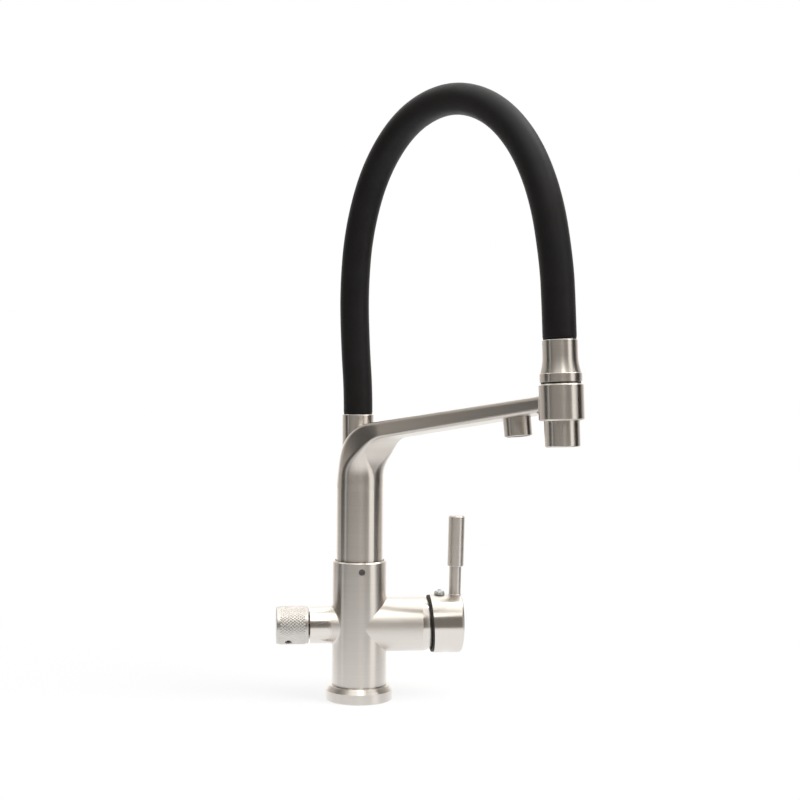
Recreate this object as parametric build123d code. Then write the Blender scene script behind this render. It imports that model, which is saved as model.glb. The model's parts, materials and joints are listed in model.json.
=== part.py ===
"""Three-way kitchen tap for mains and filtered drinking water.

A round cast body stands on a base flange. A single-lever mixer sits on its right-hand side (+X) and the
filtered-water valve, with its knurled knob, on its left-hand side (-X). A swivelling spout carries a
filtered-water outlet of its own and, at its end, a ring that holds a pull-out spray head on an arched hose.

Millimetres, +Z up, -Y to the front. The origin is the mouth of the fixing stud's hole, in the middle of the
underside. The spout is drawn pointing along +X and is then turned about +Z to its resting direction.
"""
from build123d import *
import math
import os

# Fits shared by the whole tap: radial or axial air between two pieces
turning_gap = 0.05
seat_gap = 0.1
loose_gap = 0.3
overrun = 6.0
screw_gap = 0.1
edge_break = 0.6

# Base flange and body column
body_r = 22.0
body_top = 112.0
body_rim_chamfer = 1.0
collar_bore_r = 19.0
collar_depth = 15.5
collar_groove_r = 19.9
collar_groove_depth = 1.6
flange_r = 27.0
flange_side = 8.0
flange_height = 12.0
flange_top_r = 24.6
flange_recess = 0.9
spigot_r = 18.6
seal_inner_r = 20.4
seal_outer_r = 23.6
seal_thickness = 1.8

# Water ways and threads in the underside of the body
inlet_thread_r = 4.6
inlet_thread_depth = 14.0
inlet_circle_r = 11.5
stud_thread_r = 3.4
stud_thread_depth = 25.0
waterway_r = 2.9
filtered_way_r = 2.1
mixed_way_r = 3.4
mixed_chamber_r = 7.0
mixed_port_rise = 7.3
filtered_port_rise = 8.0
filtered_riser_distance = 17.4

# Height of the axis that both handles share
handles_height = 60.0

# Mixer housing and its ceramic cartridge, placed by distance from the body's axis
housing_r = 21.85
housing_end = 49.5
cartridge_seat = 24.0
cartridge_r = 17.5
cartridge_seal_thickness = 0.9
cartridge_floor = 3.0
cartridge_wall = 1.8
cartridge_port_r = 2.6
cartridge_lid_start = 41.4
cartridge_lid_thickness = 2.6
disc_thickness = 3.2
fixed_disc_r = 14.5
moving_disc_r = 12.5
mixing_pocket_r = 8.3
mixing_pocket_depth = 1.6
rotor_flange_r = 14.8
rotor_neck_r = 11.4
rotor_end = 54.0
rotor_slot_width = 6.4
rotor_slot_height = 17.0
nut_bore_r = 12.2
nut_slot_width = 4.0
nut_slot_depth = 1.4
pivot_distance = 48.5
pivot_pin_r = 1.5
pivot_pin_length = 19.0
spindle_width = 6.0
spindle_inner_height = 5.0
spindle_outer_height = 8.0
spindle_inner_length = 10.5
spindle_outer_length = 23.0

# Domed shroud over the cartridge, a zone of a sphere about the lever's pivot
dome_r = 21.85
dome_wall = 2.0
dome_end = 61.5
dome_lip = 1.6

# Lever cap, its black gap ring, rod, grip and indicator
cap_r = 23.4
cap_start_top = 56.9
cap_start_slant = 3.4
cap_end_top = 83.0
cap_end_slant = -0.8
cap_floor = 75.0
cap_wall = 1.9
cap_end_round = 2.2
boss_r = 7.6
boss_start = 60.5
gap_ring_thickness = 1.3
gap_ring_inset = 0.5
gap_ring_wall = 1.9
gap_lip_length = 1.6
gap_lip_overlap = 0.8
gap_lip_wall = 0.6
rod_distance = 77.2
rod_r = 4.9
rod_lean = 1.2
rod_seat_depth = 1.2
rod_base_fillet = 0.5
rod_shoulder_height = 46.4
rod_stud_r = 3.0
rod_stud_depth = 7.0
grip_r = 6.6
grip_length = 41.0
grip_tenon_length = 24.0
grip_edge = 0.8
indicator_distance = 65.1
indicator_r = 4.3
indicator_height = 3.4
indicator_skirt = 1.5
indicator_stem_r = 2.9
indicator_stem_length = 1.6
indicator_nib_r = 1.3
indicator_nib_height = 0.7
lever_screw_r = 2.4
lever_screw_length = 3.5
hex_key_r = 1.5
hex_key_depth = 2.2

# Filter valve branch, headwork and knurled knob, also by distance from the body's axis
branch_r = 14.95
branch_end = 40.3
branch_fillet = 1.6
valve_seat = 23.0
valve_bore_r = 11.2
valve_seal_thickness = 1.2
headwork_r = 11.1
headwork_nose_r = 7.8
headwork_end = 48.0
valve_disc_r = 6.0
valve_port_offset = 2.8
half_moon_offset = 1.6
valve_disc_thickness = 2.2
valve_chamber_r = 8.6
valve_chamber_depth = 9.0
valve_spindle_r = 3.6
valve_spindle_flange_r = 6.4
valve_spindle_flange = 2.4
valve_spindle_end = 60.0
knob_r = 15.1
knob_start = 41.4
knob_end = 66.9
knob_band = 2.0
knob_band_drop = 0.35
knob_hollow_r = 10.6
knob_hollow_end = 50.5
knob_edge = 0.8
knob_screw_r = 2.6
knob_screw_distance = 57.5
knob_screw_length = 7.0
knob_screw_sink = 0.7
knob_screw_angle = 53

# Spout: round stem, flattening elbow and arm
spout_direction = -58.5
stem_r = 18.9
stem_bore_r = 15.4
stem_bore_cover = 47.4
stem_foot_gap = 0.3
thrust_washer_thickness = 1.0
stem_groove_r = 17.2
stem_groove_width = 4.6
set_screw_r = 2.5
set_screw_drop = 7.2
set_screw_sink = 0.9
set_screw_key_depth = 1.2
set_screw_point_r = 1.6
arm_rise = 7.5
arm_axis_height = 213.4
arm_root_width = 28.0
arm_root_thickness = 13.2
arm_end_width = 26.0
arm_end_thickness = 10.8
arm_corner_r = 2.7
elbow_inner_r = 30.0
elbow_outer_r = 55.0
elbow_sections = 7
elbow_rounding_power = 6
round_flat = 0.02

# Stem insert that keeps mixed and filtered water apart while the spout turns
insert_r = 12.9
insert_bottom = 80.0
insert_head_length = 12.0
insert_bore_r = 5.4
insert_port_r = 2.0
filter_tube_offset = 8.6
filter_groove_height = 87.8
filter_groove_width = 3.2
filter_groove_depth = 1.5
oring_groove_width = 2.4
oring_groove_depth = 1.9
oring_thickness = 2.1
oring_step = 5.6
glide_ring_height = 2.8
glide_ring_depth = 1.2
glide_ring_rise = 0.8

# Filtered-water tube and its channel through the elbow and arm
filter_tube_r = 3.0
filter_tube_bore_r = 2.0
filter_channel_r = 3.3
filter_bend_r = 24.0
outlet_to_head_distance = 45.1
filter_outlet_r = 10.0
filter_outlet_length = 13.6
filter_outlet_mouth_r = 8.2
filter_stub_r = 5.8
filter_stub_length = 5.6
filter_outlet_sink = 0.3
filter_stub_bore_r = 3.4
filter_outlet_seal_r = 7.6
filter_outlet_seal_thickness = 0.9
filter_aerator_length = 6.5
filter_aerator_recess = 0.6

# Ring at the arm's end and the liner in it; the spray head's axis leans back towards the stem
holder_reach = 229.7
head_lean = 3.0
holder_r = 15.7
holder_length = 25.0
holder_bore_r = 14.0
holder_chamfer = 1.0
holder_fillet = 2.0

# Spray head and ferrule, along the head's axis from the middle of the ring
nozzle_r = 12.25
nozzle_bottom = -30.5
nozzle_round = 1.2
nozzle_wall = 2.0
nozzle_shoulder_gap = 0.6
nozzle_neck_r = 8.0
nozzle_neck_top = 24.0
nozzle_neck_bore_r = 5.0
neck_groove_r = 6.6
neck_groove_width = 1.3
neck_groove_drop = 3.2
neck_seal_gap = 0.15
aerator_length = 9.0
aerator_recess = 0.7
aerator_hole_r = 0.8
stop_washer_thickness = 0.8
stop_washer_inset = 1.2
ferrule_bottom = 13.6
ferrule_band_r = 14.85
ferrule_band_height = 6.1
ferrule_flare_height = 12.4
ferrule_neck_r = 12.4
ferrule_length = 28.8
ferrule_bore_top = 28.6
ferrule_edge = 0.4
ferrule_flare_angle = 18
hose_seat_depth = 9.7
valve_cage_r = 4.8
valve_cage_length = 8.0
valve_cage_bore_r = 2.6
valve_cage_drop = 3.0

# Hose: outer sleeve and the pressure hose in it
sleeve_r = 11.65
sleeve_bore_r = 7.2
sleeve_neck_r = 11.0
pressure_hose_r = 6.0
pressure_hose_bore_r = 4.0
nipple_tail_in_hose = 9.0
nipple_tail_r = 3.7
nipple_bore_r = 2.4
nipple_collar_r = 7.7
nipple_collar_height = 4.0
hose_inner_tail = 3.0
socket_r = 12.9
socket_offset = -3.3
socket_above_arm = 16.2
socket_below_arm = 27.4
socket_edge = 0.4

# Route of the hose between its two mouths, as reach from the stem's axis and height above the socket
hose_route = [
    (-3.3, 19.4),
    (-7.5, 55.4),
    (-9.7, 101.2),
    (-3.2, 149.2),
    (18.4, 195.3),
    (57.3, 229.0),
    (106.8, 239.8),
    (153.1, 227.5),
    (189.2, 198.2),
    (213.0, 156.9),
    (223.9, 109.4),
]
hose_last_run = 22.0
corner_run_share = 0.45

# Sizes that follow from the ones above
handles = Pos(0, 0, handles_height)
to_right = handles * Rot(0, 90, 0)
to_left = handles * Rot(0, -90, 0)
spout_turn = Rot(0, 0, spout_direction)
rise = math.radians(arm_rise)
holder_height = arm_axis_height + holder_reach * math.tan(rise)
head_axis = Pos(holder_reach, 0, holder_height) * Rot(0, -head_lean, 0)
stem_foot = body_top - collar_depth + thrust_washer_thickness + stem_foot_gap
stem_bore_top = arm_axis_height - stem_bore_cover
socket_top = arm_axis_height + socket_above_arm
socket_root = arm_axis_height - socket_below_arm
outlet_reach = holder_reach - outlet_to_head_distance
ferrule_top = ferrule_bottom + ferrule_length
hose_end_on_axis = ferrule_top + loose_gap
nut_start = cartridge_lid_start + cartridge_lid_thickness
flange_spigot_height = flange_height - flange_recess


def rod(radius, start, end):
    """A cylinder along Z between two heights."""
    return Pos(0, 0, start) * Cylinder(radius, end - start, align=(Align.CENTER, Align.CENTER, Align.MIN))


def tube(outer_r, inner_r, start, end):
    """A tube along Z between two heights."""
    return rod(outer_r, start, end) - rod(inner_r, start - overrun, end + overrun)


def turned(points):
    """A solid of revolution about Z from a closed outline of (radius, height) points."""
    outline = Polyline([(radius, 0, height) for radius, height in points], close=True)
    return revolve(make_face(outline), axis=Axis.Z)


def hex_hole(radius, start, end):
    """A hexagonal key hole along Z."""
    hexagon = RegularPolygon(radius, side_count=6)
    return Pos(0, 0, start) * extrude(hexagon, amount=end - start)


def save(name, shape, place=None):
    """Write one sub-part to its STEP file, placed in the tap's frame."""
    placed = shape if place is None else place * shape
    export_step(placed, f"parts/{name}.step")
    print(f"{name}: {placed.volume:.0f} mm3")


def around(count, radius):
    """Places spread evenly on a circle about Z, the first one along -X."""
    return [Rot(0, 0, 180 + i * 360 / count) * Pos(radius, 0, 0) for i in range(count)]


def base_flange():
    """Round flange that the body's spigot passes through, grooved underneath for its seal."""
    flange = turned([
        (spigot_r + seat_gap, 0),
        (flange_r - edge_break, 0),
        (flange_r, edge_break),
        (flange_r, flange_side),
        (flange_top_r, flange_height - edge_break),
        (flange_top_r - edge_break, flange_height),
        (body_r + seat_gap, flange_height),
        (body_r + seat_gap, flange_spigot_height),
        (spigot_r + seat_gap, flange_spigot_height),
    ])
    groove = tube(seal_outer_r + seat_gap, seal_inner_r - seat_gap, -overrun, seal_thickness)
    return flange - groove


def base_seal():
    """Flat rubber ring between the flange and the worktop."""
    return tube(seal_outer_r, seal_inner_r, 0, seal_thickness)


def body_outside():
    """Column, mixer housing and filter branch, cast in one."""
    column = rod(body_r, flange_spigot_height, body_top)
    column = chamfer(column.edges().group_by(Axis.Z)[-1], body_rim_chamfer)
    column += rod(spigot_r, 0, flange_spigot_height)
    branch = to_left * rod(branch_r, 0, branch_end)
    column += branch
    crease = column.edges().filter_by(GeomType.BSPLINE)
    column = fillet(crease, branch_fillet)
    return column + to_right * rod(housing_r, 0, housing_end)


def inlet_holes():
    """Threaded inlets and fixing hole in the underside, with the ways up to the two valves."""
    cold, hot, filtered = inlet_places()
    holes = rod(stud_thread_r, -overrun, stud_thread_depth)
    for place in (cold, hot, filtered):
        holes += place * rod(inlet_thread_r, -overrun, inlet_thread_depth)
    for place in (cold, hot):
        holes += place * rod(waterway_r, 0, handles_height)
        side = place.position.Y
        holes += Pos(0, side, 0) * to_right * rod(waterway_r, place.position.X, cartridge_seat + overrun)
    holes += filtered * rod(filtered_way_r, 0, handles_height)
    return holes + to_left * rod(filtered_way_r, inlet_circle_r, valve_seat + overrun)


def inlet_places():
    """Centres of the cold, hot and filtered inlets."""
    filtered, cold, hot = around(3, inlet_circle_r)
    return cold, hot, filtered


def mixed_ways():
    """Chamber under the spout and the way into it from the mixer cartridge."""
    way_height = handles_height + mixed_port_rise
    chamber = rod(mixed_chamber_r, way_height, insert_bottom)
    way = Pos(0, 0, way_height) * Rot(0, 90, 0) * rod(mixed_way_r, 0, cartridge_seat + overrun)
    return chamber + way


def filtered_ways():
    """Way from the filter valve up to the groove around the spout's insert."""
    riser = filtered_riser_distance
    way_height = handles_height + filtered_port_rise
    across = Pos(0, 0, way_height) * Rot(0, -90, 0) * rod(filtered_way_r, riser, valve_seat + overrun)
    upright = Pos(-riser, 0, 0) * rod(filtered_way_r, way_height, filter_groove_height)
    inwards = Pos(0, 0, filter_groove_height) * Rot(0, -90, 0) * rod(filtered_way_r, insert_r, riser)
    return across + upright + inwards


def body_casting():
    """Hollow cast body with its seats, bores and water ways."""
    casting = body_outside()
    collar_floor = body_top - collar_depth
    casting -= rod(collar_bore_r, collar_floor, body_top + overrun)
    casting -= rod(collar_groove_r, body_top - collar_groove_depth, body_top + overrun)
    casting -= rod(insert_r + turning_gap, insert_bottom - loose_gap, body_top)
    casting -= to_right * rod(cartridge_r + seat_gap, cartridge_seat, housing_end + overrun)
    casting -= to_left * rod(valve_bore_r, valve_seat, branch_end + overrun)
    casting -= inlet_holes() + mixed_ways() + filtered_ways()
    casting -= set_screw_axis() * rod(set_screw_r + screw_gap, 0, body_r + overrun)
    return casting


def set_screw_axis():
    """Axis of the screw in the front of the collar, outwards from the middle."""
    return Pos(0, 0, body_top - set_screw_drop) * Rot(90, 0, 0)


def spout_set_screw():
    """Hexagon-socket screw whose point runs in the stem's groove and keeps the spout in."""
    tip = stem_groove_r + loose_gap
    shoulder = collar_bore_r + seat_gap
    head = body_r - set_screw_sink
    screw = rod(set_screw_point_r, tip, shoulder + edge_break) + rod(set_screw_r, shoulder, head)
    return screw - hex_hole(hex_key_r, head - set_screw_key_depth, head + overrun)


def thrust_washer():
    """Slippery washer on the collar's floor, under the spout's foot."""
    floor = body_top - collar_depth
    return tube(collar_bore_r - seat_gap, insert_r + loose_gap, floor, floor + thrust_washer_thickness)


def cartridge_ports(start, end, radius):
    """Hot, cold and mixed ports, along the mixer's axis."""
    cold, hot, _ = inlet_places()
    ports = rod(radius, start, end)
    ports = Pos(-mixed_port_rise, 0, 0) * ports
    for place in (cold, hot):
        ports += Pos(0, place.position.Y, 0) * rod(radius, start, end)
    return ports


def cartridge_seal():
    """Rubber seal between the cartridge and the floor of its housing."""
    end = cartridge_seat + cartridge_seal_thickness
    seal = rod(cartridge_r - seat_gap, cartridge_seat, end)
    return seal - cartridge_ports(cartridge_seat - overrun, end + overrun, waterway_r)


def cartridge_body():
    """Plastic cup of the cartridge."""
    start = cartridge_seat + cartridge_seal_thickness
    floor = start + cartridge_floor
    cup = rod(cartridge_r, start, cartridge_lid_start)
    cup -= rod(cartridge_r - cartridge_wall, floor, cartridge_lid_start + overrun)
    return cup - cartridge_ports(start - overrun, floor + overrun, cartridge_port_r)


def cartridge_lid():
    """Lid of the cartridge, a bearing for the rotor's neck."""
    return tube(cartridge_r, rotor_neck_r + turning_gap, cartridge_lid_start, nut_start)


def cartridge_nut():
    """Slotted brass ring that screws into the housing and holds the cartridge down."""
    nut = tube(cartridge_r, nut_bore_r, nut_start, housing_end)
    slots = Box(nut_slot_width, 2 * cartridge_r + overrun, 2 * nut_slot_depth)
    return nut - Pos(0, 0, housing_end) * (slots + Rot(0, 0, 90) * slots)


def fixed_disc():
    """Ceramic disc that stays put, with the three ports."""
    start = cartridge_seat + cartridge_seal_thickness + cartridge_floor
    disc = rod(fixed_disc_r, start, start + disc_thickness)
    return disc - cartridge_ports(start - overrun, start + disc_thickness + overrun, cartridge_port_r)


def moving_disc_start():
    """Distance of the face between the two ceramic discs, with its film of air."""
    return cartridge_seat + cartridge_seal_thickness + cartridge_floor + disc_thickness + seat_gap


def moving_disc():
    """Ceramic disc that the lever turns, hollowed to mix hot and cold."""
    start = moving_disc_start()
    disc = rod(moving_disc_r, start, start + disc_thickness)
    return disc - rod(mixing_pocket_r, start - overrun, start + mixing_pocket_depth)


def cartridge_rotor():
    """Turret that turns with the lever and carries its pivot pin."""
    start = moving_disc_start() + disc_thickness
    rotor = rod(rotor_flange_r, start, cartridge_lid_start - seat_gap)
    rotor += rod(rotor_neck_r, start, rotor_end)
    slot_depth = rotor_end + overrun - pivot_distance + spindle_inner_length + 2 * loose_gap
    slot = Box(rotor_slot_height, rotor_slot_width, slot_depth,
               align=(Align.CENTER, Align.CENTER, Align.MAX))
    rotor -= Pos(0, 0, rotor_end + overrun) * slot
    return rotor - Pos(0, 0, pivot_distance) * pivot_bore(pivot_pin_r)


def pivot_bore(radius):
    """A cross bore along Y as long as the pivot pin."""
    return Rot(90, 0, 0) * rod(radius, -pivot_pin_length / 2, pivot_pin_length / 2)


def lever_pivot_pin():
    """Steel pin through the rotor, on which the lever's spindle rocks."""
    return Pos(0, 0, pivot_distance) * pivot_bore(pivot_pin_r)


def lever_spindle():
    """Metal spindle that rocks in the rotor and carries the lever cap."""
    inner = Box(spindle_inner_height, spindle_width, spindle_inner_length + spindle_outer_height,
                align=(Align.CENTER, Align.CENTER, Align.MIN))
    outer = Box(spindle_outer_height, spindle_width, spindle_outer_length,
                align=(Align.CENTER, Align.CENTER, Align.MIN))
    hub = Rot(90, 0, 0) * rod(spindle_outer_height / 2, -spindle_width / 2, spindle_width / 2)
    spindle = Pos(0, 0, -spindle_inner_length) * inner + outer + hub
    return Pos(0, 0, pivot_distance) * (spindle - pivot_bore(pivot_pin_r + turning_gap))


def dome_shroud():
    """Domed cover between the housing and the lever cap, screwed over the nut."""
    centre = Pos(0, 0, pivot_distance)
    dome = centre * (Sphere(dome_r) - Sphere(dome_r - dome_wall))
    keep = rod(dome_r + overrun, housing_end, dome_end)
    lip = tube(dome_r - dome_wall / 2, nut_bore_r, housing_end, housing_end + dome_lip)
    return (dome & keep) + lip


def slanted(distance, slant):
    """Plane across the lever's axis at a distance measured at its top, leaning by a slant angle."""
    return handles * Pos(distance, 0, cap_r) * Rot(0, -slant, 0)


def beyond(distance, slant):
    """A block that fills everything outwards of a slanted plane."""
    size = 4 * cap_r
    block = Box(size, size, 2 * size, align=(Align.MIN, Align.CENTER, Align.CENTER))
    return slanted(distance, slant) * block


def lever_cap():
    """Hollow cap with slanted ends, a floor towards its outer end and a boss for the spindle."""
    blank = to_right * rod(cap_r, cap_start_top - overrun, cap_end_top + overrun)
    cap = (blank & beyond(cap_start_top, cap_start_slant)) - beyond(cap_end_top, cap_end_slant)
    cap = fillet(cap.edges().group_by(Axis.X)[-1], cap_end_round)
    cap -= to_right * rod(cap_r - cap_wall, cap_start_top - overrun, cap_floor)
    cap += to_right * rod(boss_r, boss_start, cap_floor + edge_break)
    socket = Box(spindle_outer_height + 2 * seat_gap, spindle_width + 2 * seat_gap,
                 pivot_distance + spindle_outer_length + seat_gap - boss_start + overrun,
                 align=(Align.CENTER, Align.CENTER, Align.MIN))
    cap -= to_right * Pos(0, 0, boss_start - overrun) * socket
    cap -= handles * Pos(indicator_distance, 0, 0) * rod(lever_screw_r + screw_gap, 0, boss_r + overrun)
    cap -= handles * Pos(indicator_distance, 0, 0) * rod(indicator_stem_r + seat_gap, boss_r + overrun / 2,
                                                         cap_r + overrun)
    cap -= rod_axis() * rod(rod_r + seat_gap, cap_r - rod_seat_depth, cap_r + overrun)
    return cap - rod_axis() * rod(rod_stud_r + screw_gap, cap_r - rod_stud_depth, cap_r)


def rod_axis():
    """Axis of the lever's rod, measured outwards from the mixer's axis."""
    return handles * Pos(rod_distance, 0, 0) * Rot(0, rod_lean, 0)


def gap_ring():
    """Black plastic ring that shows as the gap between the dome and the cap."""
    lip_outer_r = cap_r - cap_wall - seat_gap
    ring = tube(cap_r - gap_ring_inset, cap_r - gap_ring_inset - gap_ring_wall,
                cap_start_top - overrun, cap_end_top)
    lip = tube(lip_outer_r, lip_outer_r - gap_lip_wall, cap_start_top - overrun, cap_end_top)
    ring_part = to_right * ring & beyond(cap_start_top - gap_ring_thickness, cap_start_slant)
    ring_part -= beyond(cap_start_top, cap_start_slant)
    lip_part = to_right * lip & beyond(cap_start_top - gap_lip_overlap, cap_start_slant)
    lip_part -= beyond(cap_start_top + gap_lip_length, cap_start_slant)
    return ring_part + lip_part


def lever_rod():
    """Rod screwed into the cap, with a tenon for the grip."""
    foot = cap_r - rod_seat_depth
    stem = rod(rod_r, foot, rod_shoulder_height)
    stem += rod(rod_stud_r, cap_r - rod_stud_depth + seat_gap, rod_shoulder_height + grip_tenon_length)
    collar = rod(rod_r + rod_base_fillet, foot, cap_r + rod_base_fillet)
    collar = chamfer(collar.edges().group_by(Axis.Z)[-1], rod_base_fillet - seat_gap)
    seated_collar = rod_axis() * collar - to_right * rod(cap_r + turning_gap, cap_start_top, cap_end_top)
    return rod_axis() * stem + seated_collar


def lever_grip():
    """Thicker sleeve that the hand holds."""
    start = rod_shoulder_height
    grip = rod(grip_r, start, start + grip_length)
    grip = chamfer(grip.edges().filter_by(GeomType.CIRCLE), grip_edge)
    grip -= rod(rod_stud_r + seat_gap, start - overrun, start + grip_tenon_length + seat_gap)
    return rod_axis() * grip


def indicator():
    """Small domed metal plug over the lever's grub screw."""
    foot = cap_r - indicator_stem_length
    plug = turned([
        (0, foot),
        (indicator_stem_r, foot),
        (indicator_stem_r, cap_r),
        (indicator_r, cap_r),
        (indicator_r, cap_r + indicator_skirt),
        (indicator_r - edge_break, cap_r + indicator_height - edge_break),
        (indicator_nib_r + edge_break, cap_r + indicator_height),
        (indicator_nib_r, cap_r + indicator_height),
        (indicator_nib_r, cap_r + indicator_height + indicator_nib_height),
        (0, cap_r + indicator_height + indicator_nib_height),
    ])
    return handles * Pos(indicator_distance, 0, 0) * plug


def lever_grub_screw():
    """Grub screw in the boss that clamps the cap to its spindle."""
    start = spindle_outer_height / 2 + seat_gap
    end = start + lever_screw_length
    screw = rod(lever_screw_r, start, end) - hex_hole(hex_key_r, end - hex_key_depth, end + overrun)
    return handles * Pos(indicator_distance, 0, 0) * screw


def valve_seal():
    """Rubber washer under the filter valve's headwork."""
    end = valve_seat + valve_seal_thickness
    seal = rod(headwork_r, valve_seat, end) - rod(filtered_way_r, valve_seat - overrun, end + overrun)
    return seal - Pos(filtered_port_rise, 0, 0) * rod(filtered_way_r, valve_seat - overrun, end + overrun)


def headwork():
    """Brass headwork of the filter valve, screwed into the branch."""
    start = valve_seat + valve_seal_thickness
    work = rod(headwork_r, start, branch_end) + rod(headwork_nose_r, start, headwork_end)
    work -= rod(valve_chamber_r, start, start + valve_chamber_depth)
    return work - rod(valve_spindle_r + turning_gap, start, headwork_end + overrun)


def valve_disc_fixed():
    """Ceramic disc in the headwork, with the filtered water's port."""
    start = valve_seat + valve_seal_thickness
    disc = rod(valve_disc_r, start, start + valve_disc_thickness)
    return disc - Pos(valve_port_offset, 0, 0) * rod(filtered_way_r, start - overrun, branch_end)


def valve_disc_turning():
    """Half-moon ceramic disc that the knob turns."""
    start = valve_seat + valve_seal_thickness + valve_disc_thickness + seat_gap
    disc = rod(valve_disc_r, start, start + valve_disc_thickness)
    size = 2 * valve_disc_r
    half = Box(size, size, size, align=(Align.MIN, Align.CENTER, Align.MIN))
    return disc - Pos(half_moon_offset, 0, start - valve_disc_r) * half


def valve_spindle():
    """Brass spindle from the turning disc out to the knob."""
    start = valve_seat + valve_seal_thickness + 2 * valve_disc_thickness + seat_gap
    spindle = rod(valve_spindle_flange_r, start, start + valve_spindle_flange)
    return spindle + rod(valve_spindle_r, start, valve_spindle_end)


def filter_knob():
    """Knob of the filter valve: a band for the knurling between two plain rims."""
    knob = rod(knob_r, knob_start, knob_end)
    knob = chamfer(knob.edges().filter_by(GeomType.CIRCLE), knob_edge)
    for start in (knob_start, knob_end - knob_band):
        knob -= tube(knob_r + overrun, knob_r - knob_band_drop, start, start + knob_band)
    knob -= rod(knob_hollow_r, knob_start - overrun, knob_hollow_end)
    knob -= rod(valve_spindle_r + seat_gap, knob_start, valve_spindle_end + seat_gap)
    return knob - knob_screw_axis() * rod(knob_screw_r + screw_gap, 0, knob_r + overrun)


def knob_screw_axis():
    """Axis of the knob's grub screw, low on its front."""
    return Pos(0, 0, knob_screw_distance) * Rot(0, 0, -knob_screw_angle) * Rot(90, 0, 0)


def knob_grub_screw():
    """Grub screw that clamps the knob to its spindle."""
    end = knob_r - knob_screw_sink
    start = end - knob_screw_length
    screw = rod(knob_screw_r, start, end) + rod(hex_key_r, valve_spindle_r + seat_gap, start)
    return knob_screw_axis() * (screw - hex_hole(hex_key_r, end - hex_key_depth, end + overrun))


def bend_centres():
    """Centres of the elbow's inner and outer curves, as (reach, height)."""
    half = arm_root_thickness / 2
    inner_reach = stem_r + elbow_inner_r
    outer_reach = elbow_outer_r - stem_r
    inner_height = arm_axis_height + (math.sin(rise) * inner_reach - half - elbow_inner_r) / math.cos(rise)
    outer_height = arm_axis_height + (math.sin(rise) * outer_reach + half - elbow_outer_r) / math.cos(rise)
    return (inner_reach, inner_height), (outer_reach, outer_height)


def elbow_depth(angle):
    """Distance from the inner curve's centre out through the elbow, at a bend angle in radians."""
    (inner_reach, inner_height), (outer_reach, outer_height) = bend_centres()
    offset_reach = outer_reach - inner_reach
    offset_height = outer_height - inner_height
    along = -offset_reach * math.cos(angle) + offset_height * math.sin(angle)
    square = offset_reach ** 2 + offset_height ** 2
    on_curve = along + math.sqrt(along ** 2 - square + elbow_outer_r ** 2)
    on_arm = (arm_root_thickness + elbow_inner_r) / math.sin(angle + rise)
    curve_end_reach = outer_reach - elbow_outer_r * math.sin(rise)
    curve_end_height = outer_height + elbow_outer_r * math.cos(rise)
    curve_end = math.atan2(curve_end_height - inner_height, inner_reach - curve_end_reach)
    return on_curve if angle < curve_end else on_arm


def section(reach, height, angle, width, thickness, corner):
    """A rounded cross section of the spout, square to a direction that leans by angle from upright."""
    plane = Plane(origin=(reach, 0, height), x_dir=(0, 1, 0), z_dir=(math.sin(angle), 0, math.cos(angle)))
    return plane * RectangleRounded(width, thickness, corner)


def elbow_section(bend_share):
    """One section of the elbow, from round at the stem, share 0, to the arm's, share 1."""
    (inner_reach, inner_height), _ = bend_centres()
    full_bend = math.pi / 2 - rise
    angle = bend_share * full_bend
    depth = elbow_depth(angle)
    thickness = depth - elbow_inner_r
    middle = (depth + elbow_inner_r) / 2
    fade = (1 + math.cos(math.pi * bend_share)) / 2
    width = arm_root_width + (2 * stem_r - arm_root_width) * fade
    rounding = math.cos(bend_share * math.pi / 2) ** elbow_rounding_power
    corner = arm_corner_r + (thickness / 2 - round_flat - arm_corner_r) * rounding
    reach = inner_reach - middle * math.cos(angle)
    return section(reach, inner_height + middle * math.sin(angle), angle, width, thickness, corner)


def arm_root_reach():
    """Reach at which the straight arm leaves the elbow."""
    (inner_reach, _), _ = bend_centres()
    return inner_reach - (elbow_inner_r + arm_root_thickness / 2) * math.sin(rise)


def arm_height(reach):
    """Height of the arm's centre line at a reach from the stem's axis."""
    return arm_axis_height + reach * math.tan(rise)


def spout_outside():
    """Stem, elbow, arm, hose socket and holder ring, cast in one."""
    _, (_, outer_height) = bend_centres()
    round_corner = stem_r - round_flat
    stem_top = section(0, outer_height, 0, 2 * stem_r, 2 * stem_r, round_corner)
    stem = extrude(section(0, stem_foot, 0, 2 * stem_r, 2 * stem_r, round_corner),
                   amount=outer_height - stem_foot)
    shares = [i / elbow_sections for i in range(elbow_sections + 1)]
    elbow = loft([stem_top] + [elbow_section(share) for share in shares])
    upright = math.pi / 2 - rise
    root = section(arm_root_reach(), arm_height(arm_root_reach()), upright, arm_root_width,
                   arm_root_thickness, arm_corner_r)
    end = section(holder_reach, holder_height, upright, arm_end_width, arm_end_thickness, arm_corner_r)
    ring = head_axis * rod(holder_r, -holder_length / 2, holder_length / 2)
    arm = loft([root, end], ruled=True) + ring
    crease = [edge for edge in arm.edges() if is_on_ring(edge)]
    arm = fillet(crease, holder_fillet)
    rims = [edge for edge in arm.edges().filter_by(GeomType.CIRCLE) if is_ring_rim(edge)]
    arm = chamfer(rims, holder_chamfer)
    socket = rod(socket_r, socket_root, socket_top)
    socket = Pos(socket_offset, 0, 0) * chamfer(socket.edges().group_by(Axis.Z)[-1], socket_edge)
    return stem + elbow + arm + socket


def place_on_head(point):
    """Distance of a point from the head's axis, and how far along the axis it lies."""
    local = head_axis.inverse() * Pos(point)
    return math.hypot(local.position.X, local.position.Y), local.position.Z


def is_on_ring(edge):
    """True for an edge where the arm's skin enters the ring's side."""
    places = [place_on_head(edge @ share) for share in (0.0, 0.5, 1.0)]
    on_side = all(abs(radius - holder_r) < edge_break for radius, _ in places)
    return on_side and all(abs(along) < arm_end_thickness for _, along in places)


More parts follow.
